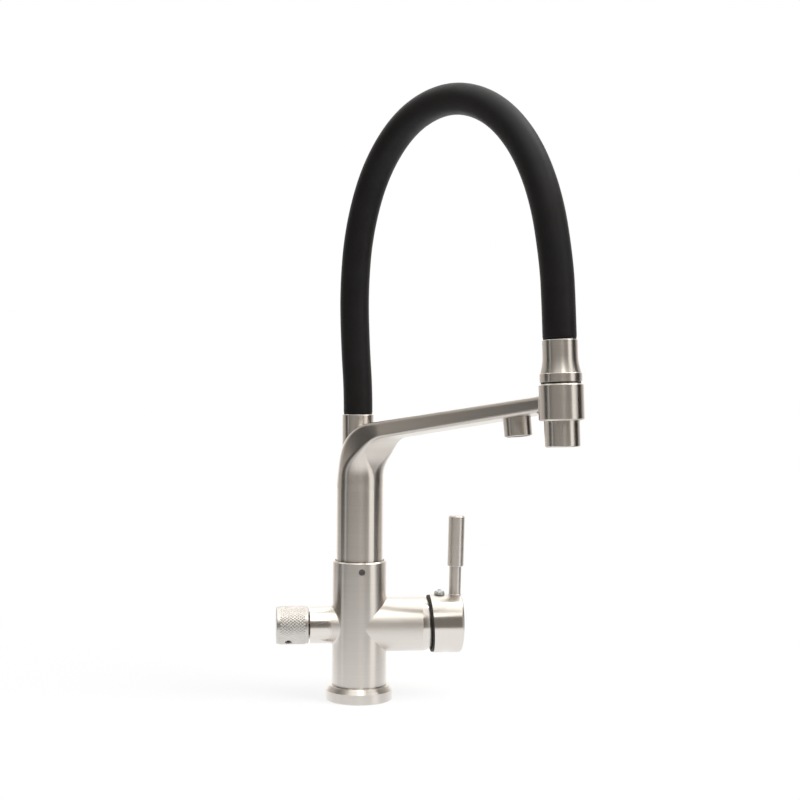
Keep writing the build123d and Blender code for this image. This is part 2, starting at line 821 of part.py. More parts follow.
def is_ring_rim(edge):
    """True for the outer circles at the ring's two ends."""
    radius, along = place_on_head(edge @ 0)
    return abs(radius - holder_r) < edge_break and abs(abs(along) - holder_length / 2) < edge_break


def filter_path(start, end_reach):
    """Path of the filtered water: up the stem, round the elbow and along the arm."""
    corner_height = arm_height(filter_tube_offset)
    points = [(filter_tube_offset, 0, start), (filter_tube_offset, 0, corner_height),
              (end_reach, 0, arm_height(end_reach))]
    return FilletPolyline(points, radius=filter_bend_r)


def along_path(path, radius):
    """A round bar along a path."""
    return sweep(Plane(origin=path @ 0, z_dir=path % 0) * Circle(radius), path=path)


def outlet_axis():
    """Axis of the filtered-water outlet, square to the arm, upwards from its underside."""
    length_share = (outlet_reach - arm_root_reach()) / (holder_reach - arm_root_reach())
    thickness = arm_root_thickness + (arm_end_thickness - arm_root_thickness) * length_share
    middle = Pos(outlet_reach, 0, arm_height(outlet_reach))
    return middle * Rot(0, -arm_rise, 0) * Pos(0, 0, filter_outlet_sink - thickness / 2)


def spout_casting():
    """Hollow spout: foot groove, stem bore, hose way, filter channel and ring bore cut from the outside."""
    casting = spout_outside()
    casting -= rod(stem_bore_r, stem_foot - overrun, stem_bore_top)
    casting -= Pos(socket_offset, 0, 0) * rod(pressure_hose_r + seat_gap, stem_bore_top - overrun,
                                              socket_top)
    casting -= Pos(socket_offset, 0, 0) * rod(nipple_collar_r + seat_gap, nipple_foot(), socket_top)
    casting -= Pos(socket_offset, 0, 0) * rod(sleeve_neck_r + seat_gap, socket_top - hose_seat_depth,
                                              socket_top + overrun)
    groove_height = body_top - set_screw_drop
    casting -= tube(stem_r + overrun, stem_groove_r, groove_height - stem_groove_width / 2,
                    groove_height + stem_groove_width / 2)
    ring_start = stem_foot + glide_ring_rise
    casting -= tube(stem_r + overrun, stem_r - glide_ring_depth - turning_gap, ring_start,
                    ring_start + glide_ring_height)
    casting -= along_path(filter_path(stem_bore_top - overrun, outlet_reach), filter_channel_r)
    casting -= outlet_axis() * rod(filter_stub_r + screw_gap, -overrun, filter_stub_length)
    casting -= outlet_axis() * rod(filter_outlet_r + seat_gap, -overrun, 0)
    return casting - head_axis * rod(holder_bore_r, -holder_length, holder_length)


def nipple_foot():
    """Height of the lower nipple's collar seat in the socket."""
    return socket_top - hose_seat_depth - hose_inner_tail - nipple_collar_height


def stem_insert():
    """Turned insert in the stem's foot: mixed water through the middle, filtered from its groove."""
    head_top = stem_foot + insert_head_length
    insert = rod(insert_r, insert_bottom, stem_foot) + rod(stem_bore_r - turning_gap, stem_foot, head_top)
    insert -= rod(insert_bore_r, insert_bottom - overrun, head_top + overrun)
    for height in oring_heights():
        insert -= tube(insert_r + overrun, insert_r - oring_groove_depth, height - oring_groove_width / 2,
                       height + oring_groove_width / 2)
    half_groove = filter_groove_width / 2
    insert -= tube(insert_r + overrun, insert_r - filter_groove_depth, filter_groove_height - half_groove,
                   filter_groove_height + half_groove)
    insert -= Pos(filter_tube_offset, 0, 0) * rod(insert_port_r, filter_groove_height, head_top + overrun)
    insert -= Pos(0, 0, filter_groove_height) * Rot(0, 90, 0) * rod(filter_groove_width / 2,
                                                                   filter_tube_offset, insert_r + overrun)
    tube_seat = rod(filter_tube_r + seat_gap, tube_foot(), head_top + overrun)
    return insert - Pos(filter_tube_offset, 0, 0) * tube_seat


def tube_foot():
    """Height at which the filtered-water tube stands in the insert."""
    return stem_foot + insert_head_length / 2


def oring_heights():
    """Middle heights of the O-rings above and below the filtered water's groove."""
    return (filter_groove_height - oring_step, filter_groove_height + oring_step)


def spout_orings():
    """The two O-rings of the insert."""
    inner_r = insert_r - oring_groove_depth + turning_gap
    rings = [tube(insert_r, inner_r, height - oring_thickness / 2, height + oring_thickness / 2)
             for height in oring_heights()]
    return Compound(children=rings)


def glide_ring():
    """Plastic ring that centres the stem in the collar, in a groove of its own at the foot."""
    start = stem_foot + glide_ring_rise
    return tube(collar_bore_r - turning_gap, stem_r - glide_ring_depth, start, start + glide_ring_height)


def filter_tube():
    """Thin tube that carries filtered water from the insert to its own outlet."""
    path = filter_path(tube_foot(), outlet_reach - filter_stub_r - seat_gap)
    return along_path(path, filter_tube_r) - along_path(path, filter_tube_bore_r)


def filter_outlet():
    """Small nozzle under the arm, with its threaded stub."""
    shell = rod(filter_outlet_r, -filter_outlet_length, 0)
    shell = chamfer(shell.edges().filter_by(GeomType.CIRCLE), edge_break / 2)
    shell += rod(filter_stub_r, -edge_break, filter_stub_length - seat_gap)
    mouth_floor = -filter_outlet_length + filter_aerator_recess + filter_aerator_length
    shell -= rod(filter_outlet_mouth_r, -filter_outlet_length - overrun, mouth_floor)
    shell -= rod(filter_stub_bore_r, -filter_outlet_length, filter_stub_length + overrun)
    return shell - tube(filter_outlet_seal_r, filter_stub_r, -filter_outlet_seal_thickness, overrun)


def filter_outlet_seal():
    """Seal between the small nozzle and the arm."""
    return tube(filter_outlet_seal_r - seat_gap, filter_stub_r + seat_gap, -filter_outlet_seal_thickness, 0)


def flow_straightener(radius, start, end, hole_r, rings):
    """A round insert with rings of small holes, along Z."""
    insert = rod(radius, start, end)
    pitch = radius / (rings + 1)
    holes = rod(hole_r, start - overrun, end + overrun)
    for ring_number in range(1, rings + 1):
        for place in around(6 * ring_number, ring_number * pitch):
            holes += place * rod(hole_r, start - overrun, end + overrun)
    return insert - holes


def filter_aerator():
    """Flow straightener in the mouth of the small nozzle."""
    start = -filter_outlet_length + filter_aerator_recess
    end = start + filter_aerator_length
    return flow_straightener(filter_outlet_mouth_r - seat_gap, start, end, aerator_hole_r, 2)


def holder_liner():
    """Plastic liner in the ring, in which the spray head slides."""
    top = holder_length / 2
    liner = rod(holder_bore_r - seat_gap, -top + seat_gap, top)
    return liner - rod(nozzle_r + loose_gap, -holder_length, holder_length)


def stop_washer():
    """Black washer under the ferrule, the stop of the spray head on its ring."""
    start = ferrule_bottom - stop_washer_thickness
    return tube(ferrule_band_r - stop_washer_inset, nozzle_r + loose_gap, start, ferrule_bottom)


def ferrule():
    """Ferrule that joins the hose to the spray head: a band, a flare and a narrow neck."""
    band_top = ferrule_bottom + ferrule_band_height
    neck_start = band_top + ferrule_flare_height
    flare = math.radians(ferrule_flare_angle)
    with BuildSketch(Plane.XZ) as profile:
        with BuildLine():
            Polyline((0, ferrule_bottom), (ferrule_band_r - ferrule_edge, ferrule_bottom),
                     (ferrule_band_r, ferrule_bottom + ferrule_edge),
                     (ferrule_band_r, band_top - ferrule_edge), (ferrule_band_r - ferrule_edge, band_top))
            Spline((ferrule_band_r - ferrule_edge, band_top), (ferrule_neck_r, neck_start),
                   tangents=[(-math.sin(flare), math.cos(flare)), (0, 1)])
            Polyline((ferrule_neck_r, neck_start), (ferrule_neck_r, ferrule_top - ferrule_edge),
                     (ferrule_neck_r - ferrule_edge, ferrule_top), (0, ferrule_top), (0, ferrule_bottom))
        make_face()
    shell = revolve(profile.sketch, axis=Axis.Z)
    shell -= rod(nozzle_neck_r + seat_gap, ferrule_bottom - overrun, ferrule_bore_top)
    shell -= rod(pressure_hose_r + loose_gap, ferrule_bottom, ferrule_top)
    return shell - rod(sleeve_neck_r + loose_gap, ferrule_top - hose_seat_depth, ferrule_top + overrun)


def spray_head():
    """Barrel of the spray head, hollow, with the neck that turns in the ferrule."""
    shoulder = ferrule_bottom - nozzle_shoulder_gap
    barrel = rod(nozzle_r, nozzle_bottom, shoulder)
    barrel = fillet(barrel.edges().group_by(Axis.Z)[0], nozzle_round)
    barrel += rod(nozzle_neck_r, shoulder - edge_break, nozzle_neck_top)
    barrel -= rod(nozzle_r - nozzle_wall, nozzle_bottom - overrun, shoulder - nozzle_wall)
    barrel -= rod(nozzle_neck_bore_r, nozzle_bottom, nozzle_neck_top + overrun)
    groove_top = nozzle_neck_top - neck_groove_drop
    return barrel - tube(nozzle_neck_r + overrun, neck_groove_r, groove_top - neck_groove_width, groove_top)


def spray_aerator():
    """Plastic aerator in the spray head's mouth."""
    start = nozzle_bottom + aerator_recess
    radius = nozzle_r - nozzle_wall - seat_gap
    return flow_straightener(radius, start, start + aerator_length, aerator_hole_r, 3)


def neck_seal():
    """O-ring in the groove of the spray head's neck."""
    middle = nozzle_neck_top - neck_groove_drop - neck_groove_width / 2
    half = neck_groove_width / 2 - neck_seal_gap
    return tube(nozzle_neck_r, neck_groove_r + turning_gap, middle - half, middle + half)


def head_check_valve():
    """Small non-return valve in the spray head's neck."""
    start = nozzle_neck_top - valve_cage_length - valve_cage_drop
    cage = rod(valve_cage_r, start, start + valve_cage_length)
    return cage - rod(valve_cage_bore_r, start - overrun, start + valve_cage_length / 2)


def upper_nipple():
    """Brass hose nipple in the ferrule; its tail enters the pressure hose."""
    start = nozzle_neck_top + loose_gap
    nipple = rod(nozzle_neck_r, start, ferrule_bore_top)
    nipple += rod(nipple_tail_r, start, hose_upper_end() + nipple_tail_in_hose)
    return nipple - rod(nipple_bore_r, start - overrun, ferrule_top)


def hose_upper_end():
    """Height on the head's axis at which the pressure hose ends."""
    return ferrule_bore_top + loose_gap


def lower_nipple():
    """Brass hose nipple in the socket; its tail enters the pressure hose."""
    start = nipple_foot()
    nipple = rod(nipple_collar_r, start, start + nipple_collar_height)
    nipple += rod(nipple_tail_r, start, start + nipple_collar_height + nipple_tail_in_hose)
    return nipple - rod(nipple_bore_r, start - overrun, socket_top + overrun)


def hose_points():
    """Corner points of the hose's route, from the socket's mouth to the ferrule's."""
    lean = math.radians(head_lean)
    last_points = [(holder_reach - along * math.sin(lean), holder_height + along * math.cos(lean))
                   for along in (hose_end_on_axis + hose_last_run, hose_end_on_axis)]
    risen = [(reach, socket_top + height) for reach, height in hose_route]
    return [(socket_offset, socket_top)] + risen + last_points


def hose_path():
    """Straight runs joined by the largest tangent arcs that they leave room for."""
    points = [Vector(reach, 0, height) for reach, height in hose_points()]
    radii = []
    for before, corner, after in zip(points, points[1:], points[2:]):
        half_turn = math.radians((corner - before).get_angle(after - corner)) / 2
        shorter = min((corner - before).length, (after - corner).length)
        radii.append(corner_run_share * shorter / math.tan(half_turn))
    print("hose arc radii:", [round(radius) for radius in radii])
    return FilletPolyline(points, radius=radii)


def hose_along(path, outer_r, inner_r, lower_end, upper_end, neck_r):
    """A hose along the route, with straight ends that reach into both seats."""
    free = along_path(path, outer_r)
    print(f"swept {free.volume:.0f} mm3, section times length {math.pi * outer_r ** 2 * path.length:.0f} mm3")
    lower = Pos(socket_offset, 0, 0) * rod(neck_r, lower_end, socket_top)
    upper = head_axis * rod(neck_r, upper_end, hose_end_on_axis)
    solid = free + lower + upper
    bore = along_path(path, inner_r)
    bore += Pos(socket_offset, 0, 0) * rod(inner_r, lower_end - overrun, socket_top)
    bore += head_axis * rod(inner_r, upper_end - overrun, hose_end_on_axis)
    return solid - bore


def hose_sleeve():
    """Thick black outer hose that arches from the socket to the ferrule."""
    lower_end = socket_top - hose_seat_depth
    upper_end = ferrule_top - hose_seat_depth + loose_gap
    return hose_along(hose_path(), sleeve_r, sleeve_bore_r, lower_end, upper_end, sleeve_neck_r)


def pressure_hose():
    """Hose that carries the water inside the sleeve."""
    lower_end = socket_top - hose_seat_depth - hose_inner_tail
    return hose_along(hose_path(), pressure_hose_r, pressure_hose_bore_r, lower_end, hose_upper_end(),
                      pressure_hose_r)


def main():
    """Build every sub-part and write it."""
    os.makedirs("parts", exist_ok=True)
    fixed_parts = {
        "base_flange": base_flange(),
        "base_seal": base_seal(),
        "body_casting": body_casting(),
        "spout_set_screw": set_screw_axis() * spout_set_screw(),
        "spout_thrust_washer": thrust_washer(),
        "cartridge_seal": to_right * cartridge_seal(),
        "cartridge_body": to_right * cartridge_body(),
        "cartridge_lid": to_right * cartridge_lid(),
        "cartridge_nut": to_right * cartridge_nut(),
        "cartridge_fixed_disc": to_right * fixed_disc(),
        "cartridge_moving_disc": to_right * moving_disc(),
        "cartridge_rotor": to_right * cartridge_rotor(),
        "lever_pivot_pin": to_right * lever_pivot_pin(),
        "lever_spindle": to_right * lever_spindle(),
        "housing_dome": to_right * dome_shroud(),
        "lever_cap": lever_cap(),
        "lever_gap_ring": gap_ring(),
        "lever_rod": lever_rod(),
        "lever_grip": lever_grip(),
        "lever_indicator": indicator(),
        "lever_grub_screw": lever_grub_screw(),
        "filter_valve_seal": to_left * valve_seal(),
        "filter_headwork": to_left * headwork(),
        "filter_fixed_disc": to_left * valve_disc_fixed(),
        "filter_turning_disc": to_left * valve_disc_turning(),
        "filter_spindle": to_left * valve_spindle(),
        "filter_knob": to_left * filter_knob(),
        "filter_knob_screw": to_left * knob_grub_screw(),
    }
    spout_parts = {
        "spout_casting": spout_casting(),
        "stem_insert": stem_insert(),
        "stem_orings": spout_orings(),
        "stem_glide_ring": glide_ring(),
        "filter_water_tube": filter_tube(),
        "filter_outlet": outlet_axis() * filter_outlet(),
        "filter_outlet_seal": outlet_axis() * filter_outlet_seal(),
        "filter_outlet_insert": outlet_axis() * filter_aerator(),
        "holder_liner": head_axis * holder_liner(),
        "hose_lower_nipple": Pos(socket_offset, 0, 0) * lower_nipple(),
        "hose_sleeve": hose_sleeve(),
        "pressure_hose": pressure_hose(),
        "hose_ferrule": head_axis * ferrule(),
        "hose_upper_nipple": head_axis * upper_nipple(),
        "head_stop_washer": head_axis * stop_washer(),
        "spray_head": head_axis * spray_head(),
        "spray_aerator": head_axis * spray_aerator(),
        "spray_check_valve": head_axis * head_check_valve(),
        "spray_neck_seal": head_axis * neck_seal(),
    }
    for name, shape in fixed_parts.items():
        save(name, shape)
    for name, shape in spout_parts.items():
        save(name, shape, spout_turn)


main()
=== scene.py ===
"""Looks of a three-way kitchen tap for mains and filtered drinking water.

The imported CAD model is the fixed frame. The tap is satin brushed nickel, so most of its look lies in the
finishes and in the studio that the metal mirrors. The smooth hose, the diamond knurling of the filter knob,
the soft nibs of the spray face and the threads underneath are made here, on top of the frame.

Metres, +Z up, -Y to the front, as in the frame.
"""

import json
import logging
import math
from dataclasses import dataclass
from enum import Enum

import bmesh
import bpy
from mathutils import Matrix, Vector


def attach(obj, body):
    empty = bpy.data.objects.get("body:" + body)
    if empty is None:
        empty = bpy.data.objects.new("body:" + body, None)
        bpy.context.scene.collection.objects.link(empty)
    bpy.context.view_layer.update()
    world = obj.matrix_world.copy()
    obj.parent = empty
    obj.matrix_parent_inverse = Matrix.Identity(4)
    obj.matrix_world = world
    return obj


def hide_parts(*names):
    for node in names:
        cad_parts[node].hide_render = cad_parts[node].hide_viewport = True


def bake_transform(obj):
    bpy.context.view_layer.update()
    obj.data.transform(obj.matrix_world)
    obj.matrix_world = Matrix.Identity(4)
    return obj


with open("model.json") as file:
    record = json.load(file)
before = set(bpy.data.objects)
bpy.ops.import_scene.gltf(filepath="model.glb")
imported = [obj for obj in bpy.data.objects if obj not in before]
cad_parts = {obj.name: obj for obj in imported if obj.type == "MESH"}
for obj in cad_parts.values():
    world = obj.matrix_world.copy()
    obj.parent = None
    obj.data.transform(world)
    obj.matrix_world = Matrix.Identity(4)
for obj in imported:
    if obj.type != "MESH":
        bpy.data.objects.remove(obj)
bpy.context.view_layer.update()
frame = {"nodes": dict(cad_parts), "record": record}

log = logging.getLogger("tap")
MM = 0.001
MICRON = 0.000001
Piece = bpy.types.Object
Tree = bpy.types.NodeTree
Node = bpy.types.Node
Socket = bpy.types.NodeSocket
Colour = tuple[float, float, float]
Point = tuple[float, float, float]
Range = tuple[float, float]

# Sizes that several sub-assemblies share, the same as in the CAD source
SPOUT_DIRECTION = math.radians(-58.5)
HANDLES_HEIGHT = 60 * MM
SOCKET_MOUTH = 229.6 * MM
HOLDER_REACH = 229.7 * MM
HOLDER_HEIGHT = 243.64 * MM
HEAD_LEAN = math.radians(3)
QUARTER_TURN = math.radians(90)

# Ends of a mask, and the parts of a noise pattern's range that colour and roughness follow
RISING: Range = (0.0, 1.0)
FALLING: Range = (1.0, 0.0)
NOISE_RANGE: Range = (0.35, 0.65)
LINE_RANGE: Range = (0.3, 0.7)

# Handling marks roughen a metal by this share of its range, and every bump has this strength
WEAR_SHARE = 1 / 3
BUMP_STRENGTH = 0.6

# Numbers of the sockets of a Mix node that mixes colours
MIX_SHARE, MIX_FIRST, MIX_SECOND, MIX_RESULT = 0, 6, 7, 2


class Fade(Enum):
    """Way in which a value passes from one end of a range to the other."""

    EVEN = "LINEAR"
    SOFT = "SMOOTHSTEP"


class Coordinates(Enum):
    """What a finish's patterns lie on: the object's own space, or its UV map."""

    OBJECT = "Object"
    UNROLLED = "UV"


class LightShader(Enum):
    """Shader that only gives light: the world's or a surface's."""

    WORLD = "ShaderNodeBackground"
    SURFACE = "ShaderNodeEmission"


# Helpers for objects and nodes


def grey(value: float) -> Colour:
    """A colour without a hue."""
    return (value, value, value)


def opaque(colour: Colour) -> tuple[float, float, float, float]:
    """The colour with full alpha, as colour sockets take it."""
    return (*colour, 1.0)


def add_object(name: str, data: bpy.types.ID) -> Piece:
    """Make an object from its data and put it in the scene.

    Args:
        name: The object's name.
        data: Its mesh, camera or light.

    Returns:
        The object.
    """
    added = bpy.data.objects.new(name, data)
    bpy.context.scene.collection.objects.link(added)
    return added


def add_node(tree: Tree, kind: str, **settings: object) -> Node:
    """Add a node to a tree.

    Args:
        tree: The tree that takes the node.
        kind: Blender's name of the node's type.
        settings: Properties of the node and their values.

    Returns:
        The new node.
    """
    node = tree.nodes.new(kind)
    for name, value in settings.items():
        setattr(node, name, value)
    return node


def feed(tree: Tree, target: Socket, source: object) -> None:
    """Link a socket to an output, or give it a constant.

    Args:
        tree: The tree that holds both.
        target: The input to feed.
        source: An output socket or a plain value.
    """
    if isinstance(source, Socket):
        tree.links.new(source, target)
    else:
        target.default_value = source


def calculate(tree: Tree, operation: str, *sources: object) -> Socket:
    """Add a Math node.

    Args:
        tree: The tree that takes the node.
        operation: The node's operation.
        sources: Its inputs in order, as outputs or numbers.

    Returns:
        The node's output.
    """
    node = add_node(tree, "ShaderNodeMath", operation=operation)
    for target, source in zip(node.inputs, sources):
        feed(tree, target, source)
    return node.outputs[0]


def calculate_vector(tree: Tree, operation: str, *sources: object) -> Node:
    """Add a Vector Math node.

    Args:
        tree: The tree that takes the node.
        operation: The node's operation.
        sources: Its vector inputs in order.

    Returns:
        The node.
    """
    node = add_node(tree, "ShaderNodeVectorMath", operation=operation)
    for target, source in zip(node.inputs, sources):
        feed(tree, target, source)
    return node


def remap(tree: Tree, value: Socket, old: Range, new: Range, fade: Fade = Fade.EVEN) -> Socket:
    """Add a Map Range node.

    Args:
        tree: The tree that takes the node.
        value: The value to map.
        old: The range that the value comes in.
        new: The range that it goes out in.
        fade: How it passes from one end to the other.

    Returns:
        The mapped value.
    """
    node = add_node(tree, "ShaderNodeMapRange", interpolation_type=fade.value)
    for target, source in zip(node.inputs[:5], (value, *old, *new)):
        feed(tree, target, source)
    return node.outputs[0]


def mix_colours(tree: Tree, share: Socket, first: object, second: object) -> Socket:
    """Add a Mix node for colours.

    Args:
        tree: The tree that takes the node.
        share: The share of the second colour, from 0 to 1.
        first: The colour at 0, as an output or with its alpha.
        second: The colour at 1.

    Returns:
        The mixed colour.
    """
    node = add_node(tree, "ShaderNodeMix", data_type="RGBA")
    feed(tree, node.inputs[MIX_SHARE], share)
    feed(tree, node.inputs[MIX_FIRST], first)
    feed(tree, node.inputs[MIX_SECOND], second)
    return node.outputs[MIX_RESULT]


def add_light(tree: Tree, kind: LightShader, colour: object) -> Node:
    """Add a shader that only gives light.

    Args:
        tree: The tree that takes the node.
        kind: The world's or a surface's.
        colour: The light's colour, as an output or with its alpha.

    Returns:
        The shader.
    """
    node = add_node(tree, kind.value)
    feed(tree, node.inputs["Color"], colour)
    return node


def mix_shaders(tree: Tree, share: Socket, first: Node, second: Node) -> Node:
    """Add a node that mixes two shaders.

    Args:
        tree: The tree that takes the node.
        share: The share of the second shader.
        first: The shader at 0.
        second: The shader at 1.

    Returns:
        The node.
    """
    node = add_node(tree, "ShaderNodeMixShader")
    for target, source in zip(node.inputs, (share, first.outputs[0], second.outputs[0])):
        feed(tree, target, source)
    return node


def noise(tree: Tree, place: Socket, scale: float, detail: float) -> Socket:
    """Add a noise pattern.

    Args:
        tree: The tree that takes the node.
        place: The coordinates that it reads.
        scale: Its scale, per metre.
        detail: Its octaves.

    Returns:
        The pattern, around a half.
    """
    node = add_node(tree, "ShaderNodeTexNoise")
    feed(tree, node.inputs["Vector"], place)
    node.inputs["Scale"].default_value = scale
    node.inputs["Detail"].default_value = detail
    return node.outputs["Fac"]


def new_group(name: str, inputs: dict[str, str], outputs: dict[str, str]) -> tuple[Tree, Node, Node]:
    """Start a shader node group.

    Args:
        name: The group's name.
        inputs: Names of its inputs and their socket types.
        outputs: Names of its outputs and their socket types.

    Returns:
        The tree, its input node and its output node.
    """
    tree = bpy.data.node_groups.new(name, "ShaderNodeTree")
    for socket, kind in inputs.items():
        tree.interface.new_socket(socket, in_out="INPUT", socket_type=kind)
    for socket, kind in outputs.items():
        tree.interface.new_socket(socket, in_out="OUTPUT", socket_type=kind)
    return tree, add_node(tree, "NodeGroupInput"), add_node(tree, "NodeGroupOutput")


# Effects that several finishes share


def brush_lines_group() -> Tree:
    """Draw the fine lines of a brushed metal.

    Returns:
        A group that gives a height for the bump, and a shade for colour and roughness.
    """
    inputs = {"Place": "NodeSocketVector", "Stretch": "NodeSocketVector"}
    outputs = {"Height": "NodeSocketFloat", "Shade": "NodeSocketFloat"}
    tree, given, result = new_group("Brush lines", inputs, outputs)
    stretched = calculate_vector(tree, "MULTIPLY", given.outputs["Place"], given.outputs["Stretch"])
    fine = noise(tree, stretched.outputs[0], scale=1.0, detail=3.0)
    wide = noise(tree, stretched.outputs[0], scale=0.21, detail=2.0)
    wide_weight = 0.6
    both = calculate(tree, "MULTIPLY_ADD", wide, wide_weight, fine)
    feed(tree, result.inputs["Height"], fine)
    feed(tree, result.inputs["Shade"], calculate(tree, "DIVIDE", both, 1 + wide_weight))
    return tree


def handling_group() -> Tree:
    """Draw faint marks of handling and wiping.

    Returns:
        A group that gives a mask, which varies over a few centimetres.
    """
    tree, given, result = new_group("Handling marks", {"Place": "NodeSocketVector"},
                                    {"Mask": "NodeSocketFloat"})
    cloudy = noise(tree, given.outputs["Place"], scale=38.0, detail=4.0)
    streaky = noise(tree, given.outputs["Place"], scale=170.0, detail=2.0)
    streaky_weight = 0.35
    both = calculate(tree, "MULTIPLY_ADD", streaky, streaky_weight, cloudy)
    clean, marked = 0.45, 0.95
    feed(tree, result.inputs["Mask"], remap(tree, both, (clean, marked), RISING, Fade.SOFT))
    return tree


def moulded_grain_group() -> Tree:
    """Draw the fine even grain of moulded rubber, plastic and fired ceramic.

    Returns:
        A group that gives a height for the bump, and a tint for the colour.
    """
    inputs = {"Place": "NodeSocketVector", "Grain Scale": "NodeSocketFloat"}
    tree, given, result = new_group("Moulded grain", inputs,
                                    {"Height": "NodeSocketFloat", "Tint": "NodeSocketFloat"})
    scaled = calculate_vector(tree, "SCALE", given.outputs["Place"])
    tree.links.new(given.outputs["Grain Scale"], scaled.inputs["Scale"])
    feed(tree, result.inputs["Height"], noise(tree, scaled.outputs[0], scale=1.0, detail=2.0))
    feed(tree, result.inputs["Tint"], noise(tree, given.outputs["Place"], scale=60.0, detail=3.0))
    return tree


class Brushing(Enum):
    """Way in which a metal is brushed: how fine its lines are, per metre, along X, Y and Z."""

    AROUND_UPRIGHT = (30.0, 30.0, 1300.0)
    AROUND_ACROSS = (1300.0, 30.0, 30.0)
    EVEN = (900.0, 900.0, 900.0)


@dataclass(frozen=True)
class Finish:
    """A surface of two close colours, the tint and the darker shade, and a range of roughness."""

    name: str
    tint: Colour
    shade: Colour
    roughness: Range

    def material(self) -> bpy.types.Material:
        """The finish as a material, made once."""
        return bpy.data.materials.get(self.name) or self.make()

    def make(self) -> bpy.types.Material:
        """Build the finish's node tree, as each kind of finish does in its own way."""
        raise NotImplementedError

    def colour(self, tree: Tree, pattern: Socket) -> Socket:
        """The two colours, mixed by a noise pattern."""
        share = remap(tree, pattern, NOISE_RANGE, RISING)
        return mix_colours(tree, share, opaque(self.shade), opaque(self.tint))


@dataclass(frozen=True)
class MetalFinish(Finish):
    """A brushed or turned metal, whose shade shows in the brush lines.

    Anisotropy draws highlights out across the lines, at a turn that is a share of a full circle. The bump is
    the depth of the lines.
    """

    brushing: Brushing
    bump: float
    anisotropy: float = 0.0
    anisotropy_turn: float = 0.25

    def make(self) -> bpy.types.Material:
        """Build the finish's node tree.

        Returns:
            The new material.
        """
        material, tree, shader, place = new_material(self.name, Coordinates.OBJECT)
        lines = add_group(tree, brush_lines)
        feed(tree, lines.inputs["Place"], place)
        lines.inputs["Stretch"].default_value = self.brushing.value
        marks = add_group(tree, handling_marks)
        feed(tree, marks.inputs["Place"], place)
        feed(tree, shader.inputs["Base Color"], self.colour(tree, lines.outputs["Shade"]))
        low, high = self.roughness
        grain = remap(tree, lines.outputs["Shade"], LINE_RANGE, self.roughness)
        worn = calculate(tree, "MULTIPLY_ADD", marks.outputs["Mask"], (high - low) * WEAR_SHARE, grain)
        feed(tree, shader.inputs["Roughness"], self.polished(tree, place, worn))
        shader.inputs["Metallic"].default_value = 1.0
        shader.inputs["Anisotropic"].default_value = self.anisotropy
        shader.inputs["Anisotropic Rotation"].default_value = self.anisotropy_turn
        add_bump(tree, shader, lines.outputs["Height"], self.bump)
        return material

    def polished(self, tree: Tree, place: Socket, roughness: Socket) -> Socket:
        """The roughness after polishing, which is the same all over a plain piece."""
        return roughness


@dataclass(frozen=True)
class BodyFinish(MetalFinish):
    """The cast body's brushed nickel, which is polished finer along the filter branch."""

    branch_start: float = -22 * MM
    branch_blend: float = 5 * MM
    branch_share: float = 0.5

    def polished(self, tree: Tree, place: Socket, roughness: Socket) -> Socket:
        """Lower the roughness to a share of itself where the branch stands out of the column.

        Args:
            tree: The material's tree.
            place: The coordinates on the piece.
            roughness: The roughness before polishing.

        Returns:
            The roughness after it.
        """
        across = add_node(tree, "ShaderNodeSeparateXYZ")
        feed(tree, across.inputs[0], place)
        ends = (self.branch_start - self.branch_blend, self.branch_start)
        share = remap(tree, across.outputs["X"], ends, (self.branch_share, 1.0), Fade.SOFT)
        return calculate(tree, "MULTIPLY", roughness, share)


@dataclass(frozen=True)
class SpoutFinish(MetalFinish):
    """The spout's brushed nickel, whose lines run level round the stem and straight across the flat arm.

    The lean tips the upright a little along the arm, because a flat top has no level direction of its own.
    """

    lean: float = 0.08

    def make(self) -> bpy.types.Material:
        """Build the finish's node tree, and draw its highlights out from lines that don't turn on the arm.

        Returns:
            The new material.
        """
        material = super().make()
        tree = material.node_tree
        upright = (self.lean * math.cos(SPOUT_DIRECTION), self.lean * math.sin(SPOUT_DIRECTION), 1.0)
        normal = add_node(tree, "ShaderNodeTexCoord").outputs["Normal"]
        level = calculate_vector(tree, "CROSS_PRODUCT", upright, normal)
        turned = add_node(tree, "ShaderNodeVectorTransform", vector_type="VECTOR",
                          convert_from="OBJECT", convert_to="WORLD")
        feed(tree, turned.inputs[0], level.outputs[0])
        feed(tree, tree.nodes["Principled BSDF"].inputs["Tangent"], turned.outputs[0])
        return material


@dataclass(frozen=True)
class MouldedFinish(Finish):
    """A rubber, a plastic or a ceramic with a fine moulded grain, whose bump is the grain's depth."""

    grain_scale: float
    bump: float
    specular: float = 0.5
    lie_on: Coordinates = Coordinates.OBJECT

    def make(self) -> bpy.types.Material:
        """Build the finish's node tree.

        Returns:
            The new material.
        """
        material, tree, shader, place = new_material(self.name, self.lie_on)
        grain = add_group(tree, moulded_grain)
        feed(tree, grain.inputs["Place"], place)
        grain.inputs["Grain Scale"].default_value = self.grain_scale
        marks = add_group(tree, handling_marks)
        feed(tree, marks.inputs["Place"], place)
        feed(tree, shader.inputs["Base Color"], self.colour(tree, grain.outputs["Tint"]))
        feed(tree, shader.inputs["Roughness"], remap(tree, marks.outputs["Mask"], RISING, self.roughness))
        shader.inputs["Specular IOR Level"].default_value = self.specular
        add_bump(tree, shader, grain.outputs["Height"], self.bump)
        return material


def new_material(name: str, lie_on: Coordinates) -> tuple[bpy.types.Material, Tree, Node, Socket]:
    """Start a material.

    Args:
        name: The material's name.
        lie_on: What its patterns lie on.

    Returns:
        The material, its tree, its shader and the coordinates.
    """
    material = bpy.data.materials.new(name)
    material.use_nodes = True
    tree = material.node_tree
    shader = tree.nodes["Principled BSDF"]
    place = add_node(tree, "ShaderNodeTexCoord").outputs[lie_on.value]
    return material, tree, shader, place


